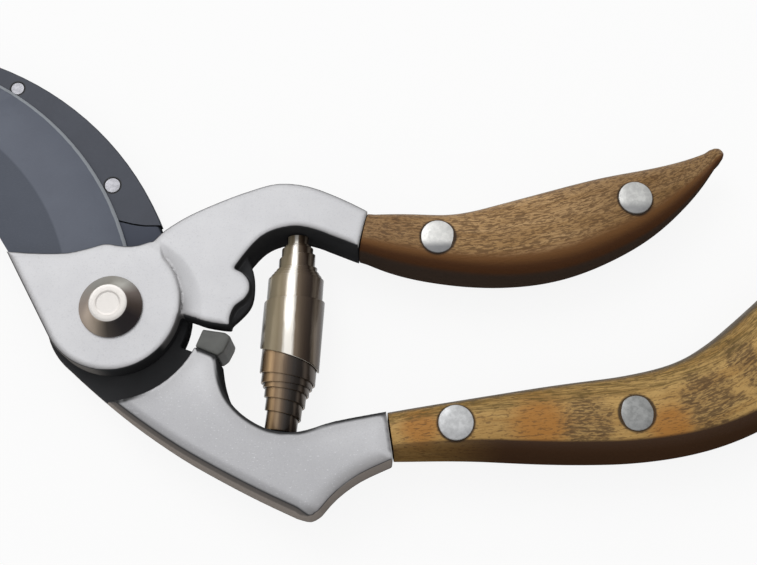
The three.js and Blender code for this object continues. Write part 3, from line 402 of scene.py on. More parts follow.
def bolt_metal(name, around, cap, ring):
    """Polished plated bolt about the origin's axis: a painted reflection as stops of tone round its cone, and
    a pale cap.
    """
    g = Graph(name)
    # painted reflection: the cone's tone follows the way it faces
    bearing = g.math("ARCTAN2", g.facing((0, 1, 0)), g.facing((1, 0, 0)))
    colour = g.tones(g.math("FRACT", g.math("MULTIPLY", bearing, 1 / math.tau)), around)
    flat = g.ramp(g.facing((0, 0, 1)), 0.93, 0.985)
    away = g.away_from(0, 0)
    cap_tone = g.mix(g.ramp(g.math("ABSOLUTE", g.math("SUBTRACT", away, 2.7)), 0.5, 0.1, 0, 0.7), cap, ring)
    colour = g.mix(flat, colour, cap_tone)
    rings = g.noise(g.node("ShaderNodeCombineXYZ", {"X": away}).outputs[0], 7.0, 3)
    g.height(rings, 0.008, 0.3)
    return g.finish(Base_Color=colour, Metallic=0.4, Roughness=0.22)


def satin(name, dark, light, rough, shade_fall=0.0, about=None):
    """Small turned or stamped pieces. With a share of painted shade, each head about a point is darker on its
    -Y side.
    """
    g = Graph(name)
    scratches = g.noise(g.scaled(g.place, (2.0, 7.0, 2.0)), 1.3, 4, 0.65)
    cloud = g.noise(g.place, 0.9, 4, 0.6)
    colour = g.mix(g.ramp(cloud, 0.35, 0.65), dark, light)
    if shade_fall:
        # painted shade on the head's -Y side
        low = g.ramp(g.math("SUBTRACT", g.split(g.place, "Y"), about), -0.6, -2.6, 0, shade_fall)
        colour = g.mix(low, colour, rgb(120, 121, 124))
    g.height(g.math("ADD", scratches, cloud), 0.014, 0.5)
    roughness = g.ramp(scratches, 0.3, 0.7, rough - 0.06, rough + 0.08)
    return g.finish(Base_Color=colour, Metallic=0.4, Roughness=roughness)


def rubber(name):
    """Matt grey block, with painted shade darkening its -Y side."""
    g = Graph(name)
    grain = g.noise(g.place, 3.0, 4)
    cloud = g.noise(g.place, 0.4, 2)
    g.height(grain, 0.04, 0.5)
    colour = g.mix(cloud, rgb(84, 85, 82), rgb(112, 113, 110))
    # painted shade on the -Y side
    colour = g.mix(g.ramp(g.facing((0, -1, 0)), 0.3, 0.7, 0, 0.5), colour, rgb(60, 61, 58))
    return g.finish(Base_Color=colour, Roughness=0.62)


def wood_base(name, pale, middle, deep):
    """Grain of oiled wood. Its fibres run along the grip: the grain attribute holds the distance along the
    grip, across it and through it, in millimetres. Gives the graph, the colour so far, and its fibres."""
    g = Graph(name)
    grain = g.attribute("grain", "Vector")
    bands = g.noise(g.scaled(grain, (0.03, 0.3, 0.25)), 1.0, 4, 0.55, 0.8)
    fibres = g.noise(g.scaled(grain, (0.2, 2.6, 2.6)), 1.0, 5, 0.62, 0.25)
    colour = g.mix(g.ramp(bands, 0.36, 0.64), pale, middle)
    colour = g.mix(g.ramp(fibres, 0.46, 0.72, 0, 0.5), colour, deep)
    return g, grain, colour, fibres


def pores(g, grain, threshold):
    """Short dark dashes along the fibres, as a share from 0 to 1."""
    long = g.noise(g.scaled(grain, (0.5, 2.3, 2.3)), 1.0, 2, 0.5, 0.3)
    short = g.noise(g.scaled(grain, (0.95, 3.4, 3.4)), 1.0, 2, 0.5, 0.2)
    first = g.ramp(g.math("SUBTRACT", long, threshold), -0.015, 0.05)
    second = g.ramp(g.math("SUBTRACT", short, threshold), -0.01, 0.05, 0, 0.7)
    return g.math("MAXIMUM", first, second)


def wall_shade_and_sheen(g, colour, steps):
    """Darkens the wood towards its walls. The under attribute is 1 on the wall that faces the photo's lower
    side and -1 on the opposite one. Steps are (start, end, colour)."""
    # painted shade towards the walls; a greyer step paints a reflection
    for start, end, tone in steps:
        colour = g.mix(g.ramp(g.attribute("under"), start, end), colour, tone)
    return colour


def oiled(g, colour, rivets, fibres, dash):
    """The wood's last touches: a ring of dirt round each rivet's head, open pores, and a gloss on the face
    but none on the lower wall."""
    for x, y, radius in rivets:
        ring = g.ramp(g.away_from(x, y), radius + 0.75, radius + 0.2, 0, 0.9)
        colour = g.mix(ring, colour, rgb(40, 28, 20))
    g.height(g.math("SUBTRACT", g.math("MULTIPLY", fibres, 0.4), dash), 0.09, 0.45)
    return g.finish(Base_Color=colour, Roughness=g.ramp(fibres, 0.3, 0.7, 0.42, 0.58),
                    Specular_IOR_Level=g.ramp(g.attribute("under"), 0.2, 0.8, 0.22, 0.0))


def brown_wood(name, rivets):
    """Golden brown with dense short pores, and painted shade turning the lower wall dark red-brown."""
    g, grain, colour, fibres = wood_base(name, rgb(194, 157, 110), rgb(166, 129, 82), rgb(116, 83, 50))
    along = g.split(grain, "X")
    colour = g.mix(g.ramp(along, 24, 4, 0, 0.45), colour, rgb(98, 66, 36))
    colour = g.mix(g.ramp(along, 38, 66, 0, 0.5), colour, rgb(106, 76, 38))
    dash = pores(g, grain, 0.53)
    colour = g.mix(g.math("MULTIPLY", dash, 0.68), colour, rgb(80, 53, 28))
    # painted shade on the lower wall, a painted reflection as a greyish band near its edge, and a darker
    # opposite wall
    colour = wall_shade_and_sheen(g, colour, [
        (0.1, 0.4, rgb(118, 80, 44)), (0.35, 0.75, rgb(88, 58, 38)),
        (0.88, 0.99, rgb(72, 60, 52)), (-0.8, -0.97, rgb(92, 74, 52))])
    return oiled(g, colour, rivets, fibres, dash)


def ochre_wood(name, rivets, mottles, glows):
    """Yellow-brown with dark mottled places and orange ones, both given as (x, y, reach), and painted shade
    on its lower wall."""
    g, grain, colour, fibres = wood_base(name, rgb(197, 160, 98), rgb(176, 137, 78), rgb(140, 104, 56))
    for x, y, reach in glows:
        near = g.ramp(g.away_from(x, y), reach, reach * 0.3, 0, 0.75)
        colour = g.mix(near, colour, rgb(172, 112, 44))
    blotch = g.noise(g.scaled(grain, (0.18, 0.3, 0.3)), 1.0, 4, 0.65, 1.0)
    dash = pores(g, grain, 0.6)
    dense = pores(g, grain, 0.5)
    shade = g.ramp(blotch, 0.56, 0.7, 0, 0.3)
    for x, y, reach in mottles:
        ragged = g.math("MULTIPLY", g.math("SUBTRACT", blotch, 0.5), reach * 1.6)
        away = g.math("ADD", g.away_from(x, y), ragged)
        shade = g.math("MAXIMUM", shade, g.ramp(away, reach, reach * 0.6))
    colour = g.mix(g.math("MULTIPLY", shade, 0.35), colour, rgb(124, 98, 64))
    colour = g.mix(g.math("MULTIPLY", g.math("MULTIPLY", dense, shade), 0.66), colour, rgb(76, 56, 38))
    colour = g.mix(g.math("MULTIPLY", dash, 0.6), colour, rgb(96, 70, 42))
    under = g.attribute("under")
    flecked = g.math("MULTIPLY", g.ramp(under, -0.14, -0.32), g.ramp(fibres, 0.4, 0.6, 0.2, 1.0))
    colour = g.mix(g.math("MULTIPLY", flecked, 0.8), colour, rgb(104, 84, 42))
    colour = g.mix(g.ramp(under, -0.75, -0.95), colour, rgb(84, 68, 42))
    # painted shade on the lower wall, stronger further along the grip
    grown = g.ramp(g.split(grain, "X"), 2, 26, 0.6, 1.0)
    dark = g.math("MULTIPLY", g.ramp(under, 0.3, 0.42), grown)
    colour = g.mix(dark, colour, rgb(66, 46, 32))
    return oiled(g, colour, rivets, fibres, dash)


# ---------- meshes ----------


def new_piece(name, bm):
    """A new piece with the mesh of bm, which it uses up."""
    mesh = bpy.data.meshes.new(name)
    bm.to_mesh(mesh)
    bm.free()
    piece = bpy.data.objects.new(name, mesh)
    scene.collection.objects.link(piece)
    return piece


def welded(*nodes):
    """The meshes of one or more CAD nodes, with corners that meet made one."""
    bm = bmesh.new()
    for node in nodes:
        bm.from_mesh(frame["nodes"][node].data)
    bmesh.ops.remove_doubles(bm, verts=bm.verts, dist=WELD)
    return bm


def joined(name, *nodes):
    """A new piece with the shape of one or more CAD nodes."""
    return new_piece(name, welded(*nodes))


def bake_modifiers(piece):
    """Turns the piece's modifiers into its own mesh."""
    bpy.context.view_layer.update()
    seen = piece.evaluated_get(bpy.context.evaluated_depsgraph_get())
    piece.data = bpy.data.meshes.new_from_object(seen)
    piece.modifiers.clear()


def softened(piece, voxel, rounds):
    """Remeshes a piece finely and melts its facets and sharp edges, as forging and tumbling do."""
    remesh = piece.modifiers.new("remesh", "REMESH")
    remesh.mode = "VOXEL"
    remesh.voxel_size = voxel
    smooth = piece.modifiers.new("smooth", "SMOOTH")
    smooth.factor = 0.5
    smooth.iterations = rounds
    bake_modifiers(piece)
    return piece


def rimmed(piece):
    """Stores how far each point of a face is from the outline, and the way there. On a wall it is no
    distance, and the way that the wall faces."""
    mesh = piece.data
    walls = [v.index for v in mesh.vertices if abs(v.normal.z) < RIM_STEEP]
    tree = KDTree(len(walls))
    for i in walls:
        tree.insert(mesh.vertices[i].co, i)
    tree.balance()
    rim = np.zeros((len(mesh.vertices), 3))
    for v in mesh.vertices:
        distance, way = 0.0, v.normal.xy
        if abs(v.normal.z) >= RIM_STEEP:
            _, wall, far = tree.find(v.co)
            distance = min(far / MM, RIM_REACH)
            way = mesh.vertices[wall].normal.xy
        way = way.normalized()
        rim[v.index] = (distance, way.x, way.y)
    edges = np.array([e.vertices[:] for e in mesh.edges])
    shares = np.bincount(edges.ravel(), minlength=len(rim))[:, None] + 1.0
    for _ in range(RIM_ROUNDS):
        spread = rim.copy()
        for axis in range(3):
            spread[:, axis] += np.bincount(edges[:, 0], rim[edges[:, 1], axis], len(rim))
            spread[:, axis] += np.bincount(edges[:, 1], rim[edges[:, 0], axis], len(rim))
        rim = spread / shares
    attribute = mesh.attributes.new("rim", "FLOAT_VECTOR", "POINT")
    attribute.data.foreach_set("vector", rim.astype(np.float32).ravel())
    return piece


def eased(piece):
    """Lets the sunk part of the neck beside the cheek start softly instead of at an edge."""
    for v in piece.data.vertices:
        depth = FRONT_FACE - v.co.z / MM
        aside = math.dist((v.co.x / MM, v.co.y / MM), CHEEK["centre"]) - CHEEK["radius"]
        sunk = v.normal.z > 0.8 and 0.01 < depth < CHEEK_FALL["deepest"]
        if sunk and CHEEK_FALL["from"] < aside < CHEEK_FALL["reach"]:
            v.co.z = (FRONT_FACE - depth * depth / (depth + CHEEK_FALL["soften"])) * MM
    return piece


def edge_broken(piece):
    """Breaks the sharp edges of a ground or stamped piece with a fine bevel, and keeps its faces flat."""
    bm = bmesh.new()
    bm.from_mesh(piece.data)
    bmesh.ops.dissolve_limit(bm, angle_limit=math.radians(FLAT_WITHIN), verts=bm.verts, edges=bm.edges)
    for face in bm.faces:
        face.smooth = True
    bm.to_mesh(piece.data)
    bm.free()
    bevel = piece.modifiers.new("bevel", "BEVEL")
    bevel.width = EDGE_BREAK
    bevel.segments = 2
    bevel.limit_method = "ANGLE"
    bevel.angle_limit = math.radians(EDGE_FROM)
    flat = piece.modifiers.new("flat", "WEIGHTED_NORMAL")
    flat.mode = "FACE_AREA"
    flat.weight = 80
    bake_modifiers(piece)
    return piece


def dress(piece, material, slot, body, *nodes, sharp=38):
    """Gives a piece its material and shading, and puts it in place of its CAD nodes on their body."""
    piece.data.materials.clear()
    piece.data.materials.append(material)
    if sharp:
        for polygon in piece.data.polygons:
            polygon.use_smooth = True
        piece.data.set_sharp_from_angle(angle=math.radians(sharp))
    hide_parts(*nodes)
    if body:
        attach(piece, body)
    return piece


def grid_piece(name, rows):
    """A mesh of closed rows of points, each joined to the next, with flat ends."""
    around = len(rows[0])
    bm = bmesh.new()
    made = [[bm.verts.new(p) for p in row] for row in rows]
    for a, b in zip(made, made[1:]):
        for j in range(around):
            k = (j + 1) % around
            bm.faces.new((a[j], a[k], b[k], b[j]))
    bm.faces.new(list(reversed(made[0])))
    bm.faces.new(made[-1])
    bmesh.ops.recalc_face_normals(bm, faces=bm.faces)
    return new_piece(name, bm)


def centre_of(node):
    low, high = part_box(node)
    return (low + high) / 2


def profile_of(node):
    """The (radius, height) outline of a CAD node turned about a vertical axis, from axis to axis."""
    axis = centre_of(node)
    bm = welded(node)

    def key(v):
        return round(math.hypot(v.co.x - axis.x, v.co.y - axis.y) / MM, 2), round(v.co.z / MM, 2)

    def turn(v):
        return math.atan2(v.co.y - axis.y, v.co.x - axis.x)

    linked = {}
    for edge in bm.edges:
        a, b = edge.verts
        ka, kb = key(a), key(b)
        apart = abs((turn(a) - turn(b) + math.pi) % (2 * math.pi) - math.pi)
        if ka != kb and (min(ka[0], kb[0]) < 0.02 or apart < 0.02):
            linked.setdefault(ka, set()).add(kb)
            linked.setdefault(kb, set()).add(ka)
    bm.free()
    start = min((k for k in linked if k[0] < 0.02), key=lambda k: k[1])
    path = [start]
    while True:
        onwards = [k for k in linked[path[-1]] if k not in path]
        if not onwards:
            break
        path.append(onwards[0])
    return [Vector((r * MM, z * MM)) for r, z in path]


def filleted(points, radius, steps=4):
    """The same outline with each inner corner rounded."""
    out = [points[0]]
    for before, corner, after in zip(points, points[1:], points[2:]):
        reach = min(radius, (before - corner).length * 0.45, (after - corner).length * 0.45)
        start = corner + (before - corner).normalized() * reach
        end = corner + (after - corner).normalized() * reach
        for i in range(steps + 1):
            t = i / steps
            out.append(start * (1 - t) ** 2 + corner * 2 * t * (1 - t) + end * t * t)
    return out + [points[-1]]


def turned(name, node, fillet=TURNED_FILLET, flatten=0.0):
    """A smooth turned piece with the outline of a CAD node. Flatten fills a share of the dish in its top."""
    axis = centre_of(node)
    profile = profile_of(node)
    top = max(point.y for point in profile)
    for point in profile:
        if top - point.y < DISH_DEPTH:
            point.y += (top - point.y) * flatten
    bm = bmesh.new()
    turns = [2 * math.pi * i / ROUND_STEPS for i in range(ROUND_STEPS)]
    rings = []
    for radius, height in filleted(profile, fillet):
        if radius < 1e-6:
            rings.append([bm.verts.new((axis.x, axis.y, height))])
            continue
        circle = [(axis.x + radius * math.cos(t), axis.y + radius * math.sin(t), height) for t in turns]
        rings.append([bm.verts.new(p) for p in circle])
    for a, b in zip(rings, rings[1:]):
        for j in range(ROUND_STEPS):
            k = (j + 1) % ROUND_STEPS
            corners = [a[j % len(a)], a[k % len(a)], b[k % len(b)], b[j % len(b)]]
            unique = list(dict.fromkeys(corners))
            if len(unique) > 2:
                bm.faces.new(unique)
    bmesh.ops.recalc_face_normals(bm, faces=bm.faces)
    return new_piece(name, bm)


# ---------- grips ----------


def blurred(values, spread, wrap):
    """Values softened along their first axis by a bell curve, with the spread in steps."""
    reach = max(1, int(3 * spread))
    weights = np.exp(-0.5 * (np.arange(-reach, reach + 1) / spread) ** 2)
    weights /= weights.sum()
    padding = [(reach, reach)] + [(0, 0)] * (values.ndim - 1)
    padded = np.pad(values, padding, mode="wrap" if wrap else "edge")
    return sum(w * padded[i:i + len(values)] for i, w in enumerate(weights))


def end_face(node):
    """Centre and outward normal of the flat face in which a grip scale meets its forging."""
    mesh = frame["nodes"][node].data
    lowest = min(v.co.x for v in mesh.vertices)
    total, normal, centre = 0.0, Vector(), Vector()
    for polygon in mesh.polygons:
        if polygon.normal.x < -0.8 and abs(polygon.normal.z) < 0.1 and polygon.center.x < lowest + 4 * MM:
            total += polygon.area
            normal += polygon.normal * polygon.area
            centre += polygon.center * polygon.area
    return centre / total, normal.normalized()


def rivet_places(kind):
    """(x, y, radius) of each of a pair of rivets, in millimetres."""
    places = []
    for number in (1, 2):
        low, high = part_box(f"{kind}_rivet_{number}")
        middle = (low + high) / 2
        places.append((middle.x / MM, middle.y / MM, (high.x - low.x) / 2 / MM))
    return places


def grip_line(start, outward, skin):
    """Feels its way along the middle of a grip. Gives points a step apart and the grip's heading at each."""
    first = (-outward.x, -outward.y, 0)
    heading = Vector(first).normalized()
    line = [start.copy()]
    lift = UP * GRIP_LIFT
    while len(line) < GRIP_MOST:
        ahead = line[-1] + heading * GRIP_STEP
        across = UP.cross(heading)
        top, bottom = skin(ahead + lift, across), skin(ahead + lift, -across)
        if top is None or bottom is None or (top - bottom).length < GRIP_THINNEST:
            break
        if (top - ahead).dot(across) < 0 or (bottom - ahead).dot(across) > 0:
            break
        new = (top + bottom) / 2 - lift
        heading = (heading * 0.75 + (new - line[-1]).normalized() * 0.25).normalized()
        line.append(new)
    points = np.array(line)
    points[1:] = blurred(points, 4.0, False)[1:]
    headings = np.gradient(points, axis=0)
    headings[0] = first
    headings = blurred(headings / np.linalg.norm(headings, axis=1)[:, None], 2.0, False)
    headings[0] = first
    headings /= np.linalg.norm(headings, axis=1)[:, None]
    return points, headings


def grip_reach(points, headings, turns, skin, in_bore):
    """How far the skin lies from each point of a grip's line, at each turn about its heading. The rivets'
    bores are bridged and the facets melted, but not along the grip at the end that meets the forging."""
    reach = np.full((len(points), GRIP_AROUND), np.nan)
    for i, (point, heading) in enumerate(zip(points, headings)):
        here, across = Vector(point), UP.cross(Vector(heading))
        for j, turn in enumerate(turns):
            way = across * math.cos(turn) + UP * math.sin(turn)
            hit = skin(here + Vector(heading) * 1e-5, way)
            if hit is not None and not in_bore(hit):
                reach[i, j] = (hit - here).length
    steps = np.arange(len(points))
    for j in range(GRIP_AROUND):
        found = ~np.isnan(reach[:, j])
        reach[:, j] = np.interp(steps, steps[found], reach[found, j])
    around = GRIP_SOFTEN["around"] / (360 / GRIP_AROUND)
    end = blurred(reach[0], around, True)
    reach = blurred(reach, GRIP_SOFTEN["along"] / GRIP_STEP, False)
    reach = blurred(reach.T, around, True).T
    hold = np.exp(-steps / 3.0)[:, None]
    return reach * (1 - hold) + end[None, :] * hold


def grip_sections(points, headings, reach):
    """(centre, heading, reach, distance along the grip) of each section, with a rounded tip."""
    run = np.concatenate([[0], np.cumsum(np.linalg.norm(np.diff(points, axis=0), axis=1))])
    sections = [(points[0], headings[0], reach[0] - GRIP_START, run[0])]
    sections += [(points[i], headings[i], reach[i], run[i]) for i in range(1, len(points))]
    tip = reach[-1].mean()
    for angle in np.radians(TIP_ANGLES):
        beyond = points[-1] + headings[-1] * tip * TIP_LENGTH * math.sin(angle)
        sections.append((beyond, headings[-1], reach[-1] * math.cos(angle), run[-1] + tip * math.sin(angle)))
    return sections


def grip_half(name, sections, turns, sign):
    """The front (sign 1) or back (sign -1) scale of a grip, with its grain and under attributes."""
    edge = np.linspace(0, math.pi, GRIP_AROUND // 2 + 1)
    rows, grain, under = [], [], []
    for centre, heading, reach, run in sections:
        across = UP.cross(Vector(heading))
        distance = np.interp(sign * edge % (2 * math.pi), turns, reach, period=2 * math.pi)
        aside, lifted = distance * np.cos(edge), distance * np.sin(edge)
        outwards = np.gradient(lifted), -np.gradient(aside)
        under.extend(-outwards[0] / np.maximum(np.hypot(*outwards), 1e-9))
        places = list(zip(aside, lifted))
        rows.append([Vector(centre) + across * a + UP * sign * (b + GRIP_SEAM) for a, b in places])
        grain.extend((run / MM, a / MM, sign * b / MM) for a, b in places)
    piece = grid_piece(name, rows)
    attribute = piece.data.attributes.new("grain", "FLOAT_VECTOR", "POINT")
    attribute.data.foreach_set("vector", np.array(grain, np.float32).ravel())
    attribute = piece.data.attributes.new("under", "FLOAT", "POINT")
    attribute.data.foreach_set("value", np.array(under, np.float32))
    return piece


def grip_halves(side, material, slot, body):
    """The two wooden scales of one grip, resampled from the CAD scales on a clean grid."""
    front, back = f"{side}_scale_front", f"{side}_scale_back"
    shell = joined("grip_shell", front, back)
    tree = BVHTree.FromObject(shell, bpy.context.evaluated_depsgraph_get())
    bpy.data.objects.remove(shell)
    rivets = rivet_places(f"{side}_grip")

    def skin(centre, way):
        return tree.ray_cast(centre + way * GRIP_OUTSIDE, -way)[0]

    def in_bore(hit):
        return any(math.hypot(hit.x / MM - x, hit.y / MM - y) < radius + BORE_RIM for x, y, radius in rivets)

    start, outward = end_face(front)
    start.z = (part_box(front)[0].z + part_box(back)[1].z) / 2
    points, headings = grip_line(start, outward, skin)
    turns = (np.arange(GRIP_AROUND) + 0.5) * 2 * math.pi / GRIP_AROUND
    reach = grip_reach(points, headings, turns, skin, in_bore)
    sections = grip_sections(points, headings, reach)
    dress(grip_half(f"{side}_wood_front", sections, turns, 1), material, slot, body, front, sharp=50)
    dress(grip_half(f"{side}_wood_back", sections, turns, -1), material, slot, body, back, sharp=50)


# ---------- spring ----------


def spring_strip(name, node):
    """One strip of the volute spring with rounded edges, wound inwards from its wide end."""
    strip = SPRING_STRIPS[node]
    middle_height = centre_of("lower_body").z
    soft = SPRING_ROUND

    def place(height, radius, angle):
        lean = math.radians(SPRING_AXIS["tilt"] - SPRING_AXIS["bend"] * height)
        middle_lean = math.radians(SPRING_AXIS["tilt"] - SPRING_AXIS["bend"] * height / 2)
        aside = radius * math.cos(angle)
        return Vector((
            (SPRING_AXIS["x"] + height * math.sin(middle_lean) + aside * math.cos(lean)) * MM,
            (height * math.cos(middle_lean) - aside * math.sin(lean)) * MM,
            middle_height + radius * math.sin(angle) * MM))

    rows = []
    for i in range(round(strip["turns"] * SPRING_PER_TURN) + 1):
        turns = i / SPRING_PER_TURN
        edges = [np.interp(turns, *zip(*strip[edge])) for edge in ("far", "near")]
        low, high = min(edges), max(edges)
        outer = strip["outside"] - SPRING_COIL * turns
        inner = outer - SPRING_THICK
        section = [
            (high - soft, outer), (high - soft * 0.3, outer - soft * 0.3), (high, outer - soft),
            (high, inner + soft), (high - soft, inner), (low + soft, inner), (low, inner + soft),
            (low, outer - soft), (low + soft * 0.3, outer - soft * 0.3), (low + soft, outer)]
        rows.append([place(height, radius, math.pi * (1 - 2 * turns)) for height, radius in section])
    return grid_piece(name, rows)


# ---------- the object ----------


def across_spring(*stops):
    """Stops of a painted reflection across the spring, given as (place from -1 on the left to 1 on the right,
    colour).
    """
    return [((place + 1) / 2, colour) for place, colour in stops]


casting_lower = lower_casting("casting_lower", slate_beyond=12.4)
casting_upper = upper_casting("casting_upper")
hook_dark = hook_steel("hook_dark", rivet_places("hook"))
blade_dark = cutting_steel("blade_dark")
# painted reflection round the bolt's cone: a highlight up to the right, dark low on the right
bolt_plate = bolt_metal("bolt_plate", [
    (0.0, rgb(86, 74, 67)), (0.08, rgb(123, 111, 105)), (0.16, rgb(186, 184, 176)),
    (0.25, rgb(155, 151, 141)), (0.35, rgb(146, 144, 136)), (0.5, rgb(158, 144, 132)),
    (0.58, rgb(182, 166, 150)), (0.67, rgb(165, 151, 135)), (0.75, rgb(83, 76, 70)),
    (0.83, rgb(53, 49, 50)), (0.93, rgb(51, 44, 46)), (1.0, rgb(86, 74, 67))],
    cap=rgb(194, 190, 186), ring=rgb(186, 181, 176))
# painted reflections on the spring's two strips: highlights, and shade towards the right
spring_pale_reflection = spring_strip_metal("spring_pale_reflection", across_spring(
    (-1.0, rgb(24, 20, 17)), (-0.92, rgb(40, 35, 30)), (-0.82, rgb(176, 164, 140)),
    (-0.62, rgb(172, 158, 131)), (-0.42, rgb(148, 134, 108)), (-0.28, rgb(160, 147, 126)),
    (-0.16, rgb(252, 248, 240)), (0.04, rgb(250, 245, 236)), (0.14, rgb(118, 102, 84)),
    (0.3, rgb(88, 73, 58)), (0.46, rgb(66, 52, 41)), (0.62, rgb(52, 41, 33)),
    (0.76, rgb(136, 124, 110)), (0.88, rgb(92, 80, 70)), (1.0, rgb(50, 43, 38))))
spring_tan_reflection = spring_strip_metal("spring_tan_reflection", across_spring(
    (-1.0, rgb(28, 22, 16)), (-0.92, rgb(46, 36, 25)), (-0.8, rgb(134, 110, 84)),
    (-0.62, rgb(224, 186, 140)), (-0.44, rgb(150, 122, 92)), (-0.26, rgb(160, 136, 108)),
    (-0.1, rgb(104, 85, 66)), (0.02, rgb(74, 60, 47)), (0.22, rgb(40, 32, 26)), (0.5, rgb(38, 31, 26)),
    (0.62, rgb(98, 86, 76)), (0.74, rgb(54, 46, 40)), (0.9, rgb(104, 94, 86)), (1.0, rgb(84, 77, 71))))
claw_satin = satin("claw_satin", rgb(160, 160, 166), rgb(186, 186, 192), 0.4)
steel_satin = satin("steel_satin", rgb(132, 134, 138), rgb(160, 162, 166), 0.34)
bronze_plain = satin("bronze_plain", rgb(150, 112, 62), rgb(176, 136, 80), 0.38)
bumper_rubber = rubber("bumper_rubber")
upper_wood = brown_wood("upper_wood", rivet_places("upper_grip"))
lower_wood = ochre_wood(
    "lower_wood", rivet_places("lower_grip"),
    mottles=[(104.6, -26.2, 7.0), (131.0, -21.5, 7.5), (138.8, -11.0, 4.5), (142.5, -15.5, 4.5)],
    glows=[(94.3, -26.5, 9.0), (122.6, -27.0, 7.0), (68.5, -27.0, 6.0)])

grip_halves("upper", upper_wood, "upper_wood", "upper_half")
grip_halves("lower", lower_wood, "lower_wood", "lower_half")

dress(rimmed(softened(joined("lower_forging", "lower_body"), **FORGING)),
      casting_lower, "casting", "lower_half", "lower_body", sharp=60)
dress(rimmed(eased(softened(joined("upper_forging", "upper_body"), **FORGING))),
      casting_upper, "casting", "upper_half", "upper_body", sharp=60)
dress(softened(joined("stop_block", "bumper"), **RUBBER),
      bumper_rubber, "rubber", "lower_half", "bumper", sharp=60)

for name, node, look, slot, body in (
        ("bypass_blade", "cutting_blade", blade_dark, "blade", "upper_half"),
        ("hook_plate", "hook_blade", hook_dark, "blade", "lower_half"),
        ("thumb_lever", "lock_lever", steel_satin, "steel", "lock"),
        ("bolt_nut", "pivot_nut", steel_satin, "steel", "lower_half")):
    dress(edge_broken(joined(name, node)), look, slot, body, node, sharp=None)

dress(turned("bolt_head", "pivot_bolt", BOLT_FILLET, DISH_FILLED),
      bolt_plate, "bolt", "lower_half", "pivot_bolt")
dress(turned("lever_rivet", "lock_pivot"), steel_satin, "steel", "lower_half", "lock_pivot")
dress(turned("catch_stud", "lock_stud"), steel_satin, "steel", "upper_half", "lock_stud")
for number in (1, 2):
    dress(turned(f"claw_rivet_{number}", f"hook_rivet_{number}"), claw_satin, "rivet", "lower_half",
          f"hook_rivet_{number}")
    for side in ("upper", "lower"):
        node = f"{side}_grip_rivet_{number}"
        # each head's painted light and shade
        dark, light, shade_fall = HEAD_LIGHT_SHADE[f"{side}_{number}"]
        look = satin(f"{side}_head_{number}", rgb(*dark), rgb(*light), 0.36, shade_fall, centre_of(node).y / MM)
        dress(turned(f"{side}_rivet_{number}", node), look, "rivet", f"{side}_half", node)

spring_centre = centre_of("volute_spring")
for name, node, look in (("outer_strip", "volute_spring", spring_pale_reflection),
                         ("inner_strip", "volute_spring_lower", spring_tan_reflection)):
    strip = spring_strip(name, node)
    dress(strip, look, "spring", None, node, sharp=50)
    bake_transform(strip)

for node, look in (("pivot_bush", bronze_plain), ("pivot_washer", bronze_plain),
                   ("blade_pin_1", steel_satin), ("blade_pin_2", steel_satin)):
    mesh = frame["nodes"][node].data
    mesh.materials.clear()
    mesh.materials.append(look)

# ---------- floor, light, camera ----------


def seen_directly(tree):
    """1 for what the camera sees itself, in a mirror or through glass."""
    path = tree.nodes.new("ShaderNodeLightPath")
    seen = path.outputs["Is Camera Ray"]
    for ray in ("Is Glossy Ray", "Is Transmission Ray"):
        either = tree.nodes.new("ShaderNodeMath")
        either.operation = "MAXIMUM"
        tree.links.new(seen, either.inputs[0])
        tree.links.new(path.outputs[ray], either.inputs[1])
        seen = either.outputs[0]
    return seen


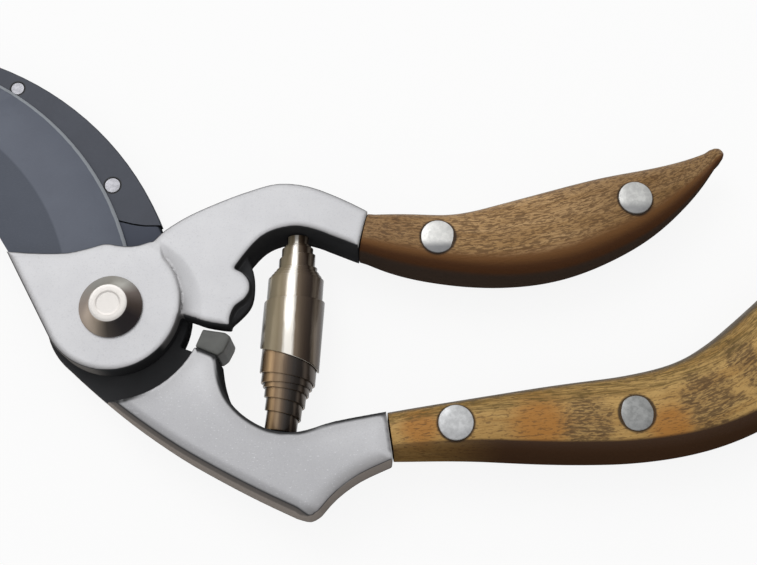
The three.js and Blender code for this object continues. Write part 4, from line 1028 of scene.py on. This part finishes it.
def floor():
    """A wide white floor, which takes the shadows."""
    bm = bmesh.new()
    bmesh.ops.create_grid(bm, x_segments=1, y_segments=1, size=FLOOR_HALF)
    piece = new_piece("floor", bm)
    piece.location.z = -FLOOR_DROP
    look = bpy.data.materials.new("floor")
    look.use_nodes = True
    tree = look.node_tree
    shader = tree.nodes["Principled BSDF"]
    shader.inputs["Base Color"].default_value = FLOOR_TONE
    shader.inputs["Roughness"].default_value = 0.9
    shader.inputs["Specular IOR Level"].default_value = 0.1
    glow = tree.nodes.new("ShaderNodeEmission")
    glow.inputs["Strength"].default_value = FLOOR_WHITE
    blend = tree.nodes.new("ShaderNodeMixShader")
    share = tree.nodes.new("ShaderNodeMath")
    share.operation = "MULTIPLY"
    share.inputs[1].default_value = FLOOR_GLOW
    tree.links.new(seen_directly(tree), share.inputs[0])
    tree.links.new(share.outputs[0], blend.inputs[0])
    tree.links.new(shader.outputs[0], blend.inputs[1])
    tree.links.new(glow.outputs[0], blend.inputs[2])
    tree.links.new(blend.outputs[0], tree.nodes["Material Output"].inputs["Surface"])
    piece.data.materials.append(look)


def world():
    """A soft studio: bright above and to the upper left, darker low on the right."""
    made = bpy.data.worlds.new("studio")
    scene.world = made
    made.use_nodes = True
    tree = made.node_tree
    background = tree.nodes["Background"]
    background.inputs["Color"].default_value = (1, 1, 1, 1)
    place = tree.nodes.new("ShaderNodeTexCoord")
    towards = tree.nodes.new("ShaderNodeVectorMath")
    towards.operation = "DOT_PRODUCT"
    towards.inputs[1].default_value = Vector(BRIGHT_SIDE).normalized()
    tree.links.new(place.outputs["Generated"], towards.inputs[0])
    level = tree.nodes.new("ShaderNodeMapRange")
    level.interpolation_type = "SMOOTHSTEP"
    for key, value in WORLD_LEVELS:
        level.inputs[key].default_value = value
    tree.links.new(towards.outputs["Value"], level.inputs["Value"])
    tree.links.new(level.outputs[0], background.inputs["Strength"])


def lamp(name, place, size, power):
    """A round lamp that points at the camera's target."""
    data = bpy.data.lights.new(name, "AREA")
    data.shape = "DISK"
    data.size = size
    data.energy = power
    lamp_object = bpy.data.objects.new(name, data)
    lamp_object.location = place
    towards = CAMERA_TARGET - Vector(place)
    lamp_object.rotation_euler = towards.to_track_quat("-Z", "Y").to_euler()
    scene.collection.objects.link(lamp_object)


def camera():
    data = bpy.data.cameras.new("camera")
    data.lens = CAMERA_LENS
    data.sensor_width = 36
    data.clip_start = 0.01
    camera_object = bpy.data.objects.new("camera", data)
    back = Vector((0, -math.sin(CAMERA_TILT), math.cos(CAMERA_TILT)))
    camera_object.location = CAMERA_TARGET + back * CAMERA_DISTANCE
    camera_object.rotation_euler = (CAMERA_TILT, 0, 0)
    scene.collection.objects.link(camera_object)
    scene.camera = camera_object


camera()
floor()
world()
for settings in LAMPS:
    lamp(*settings)
scene.view_settings.view_transform = "Standard"
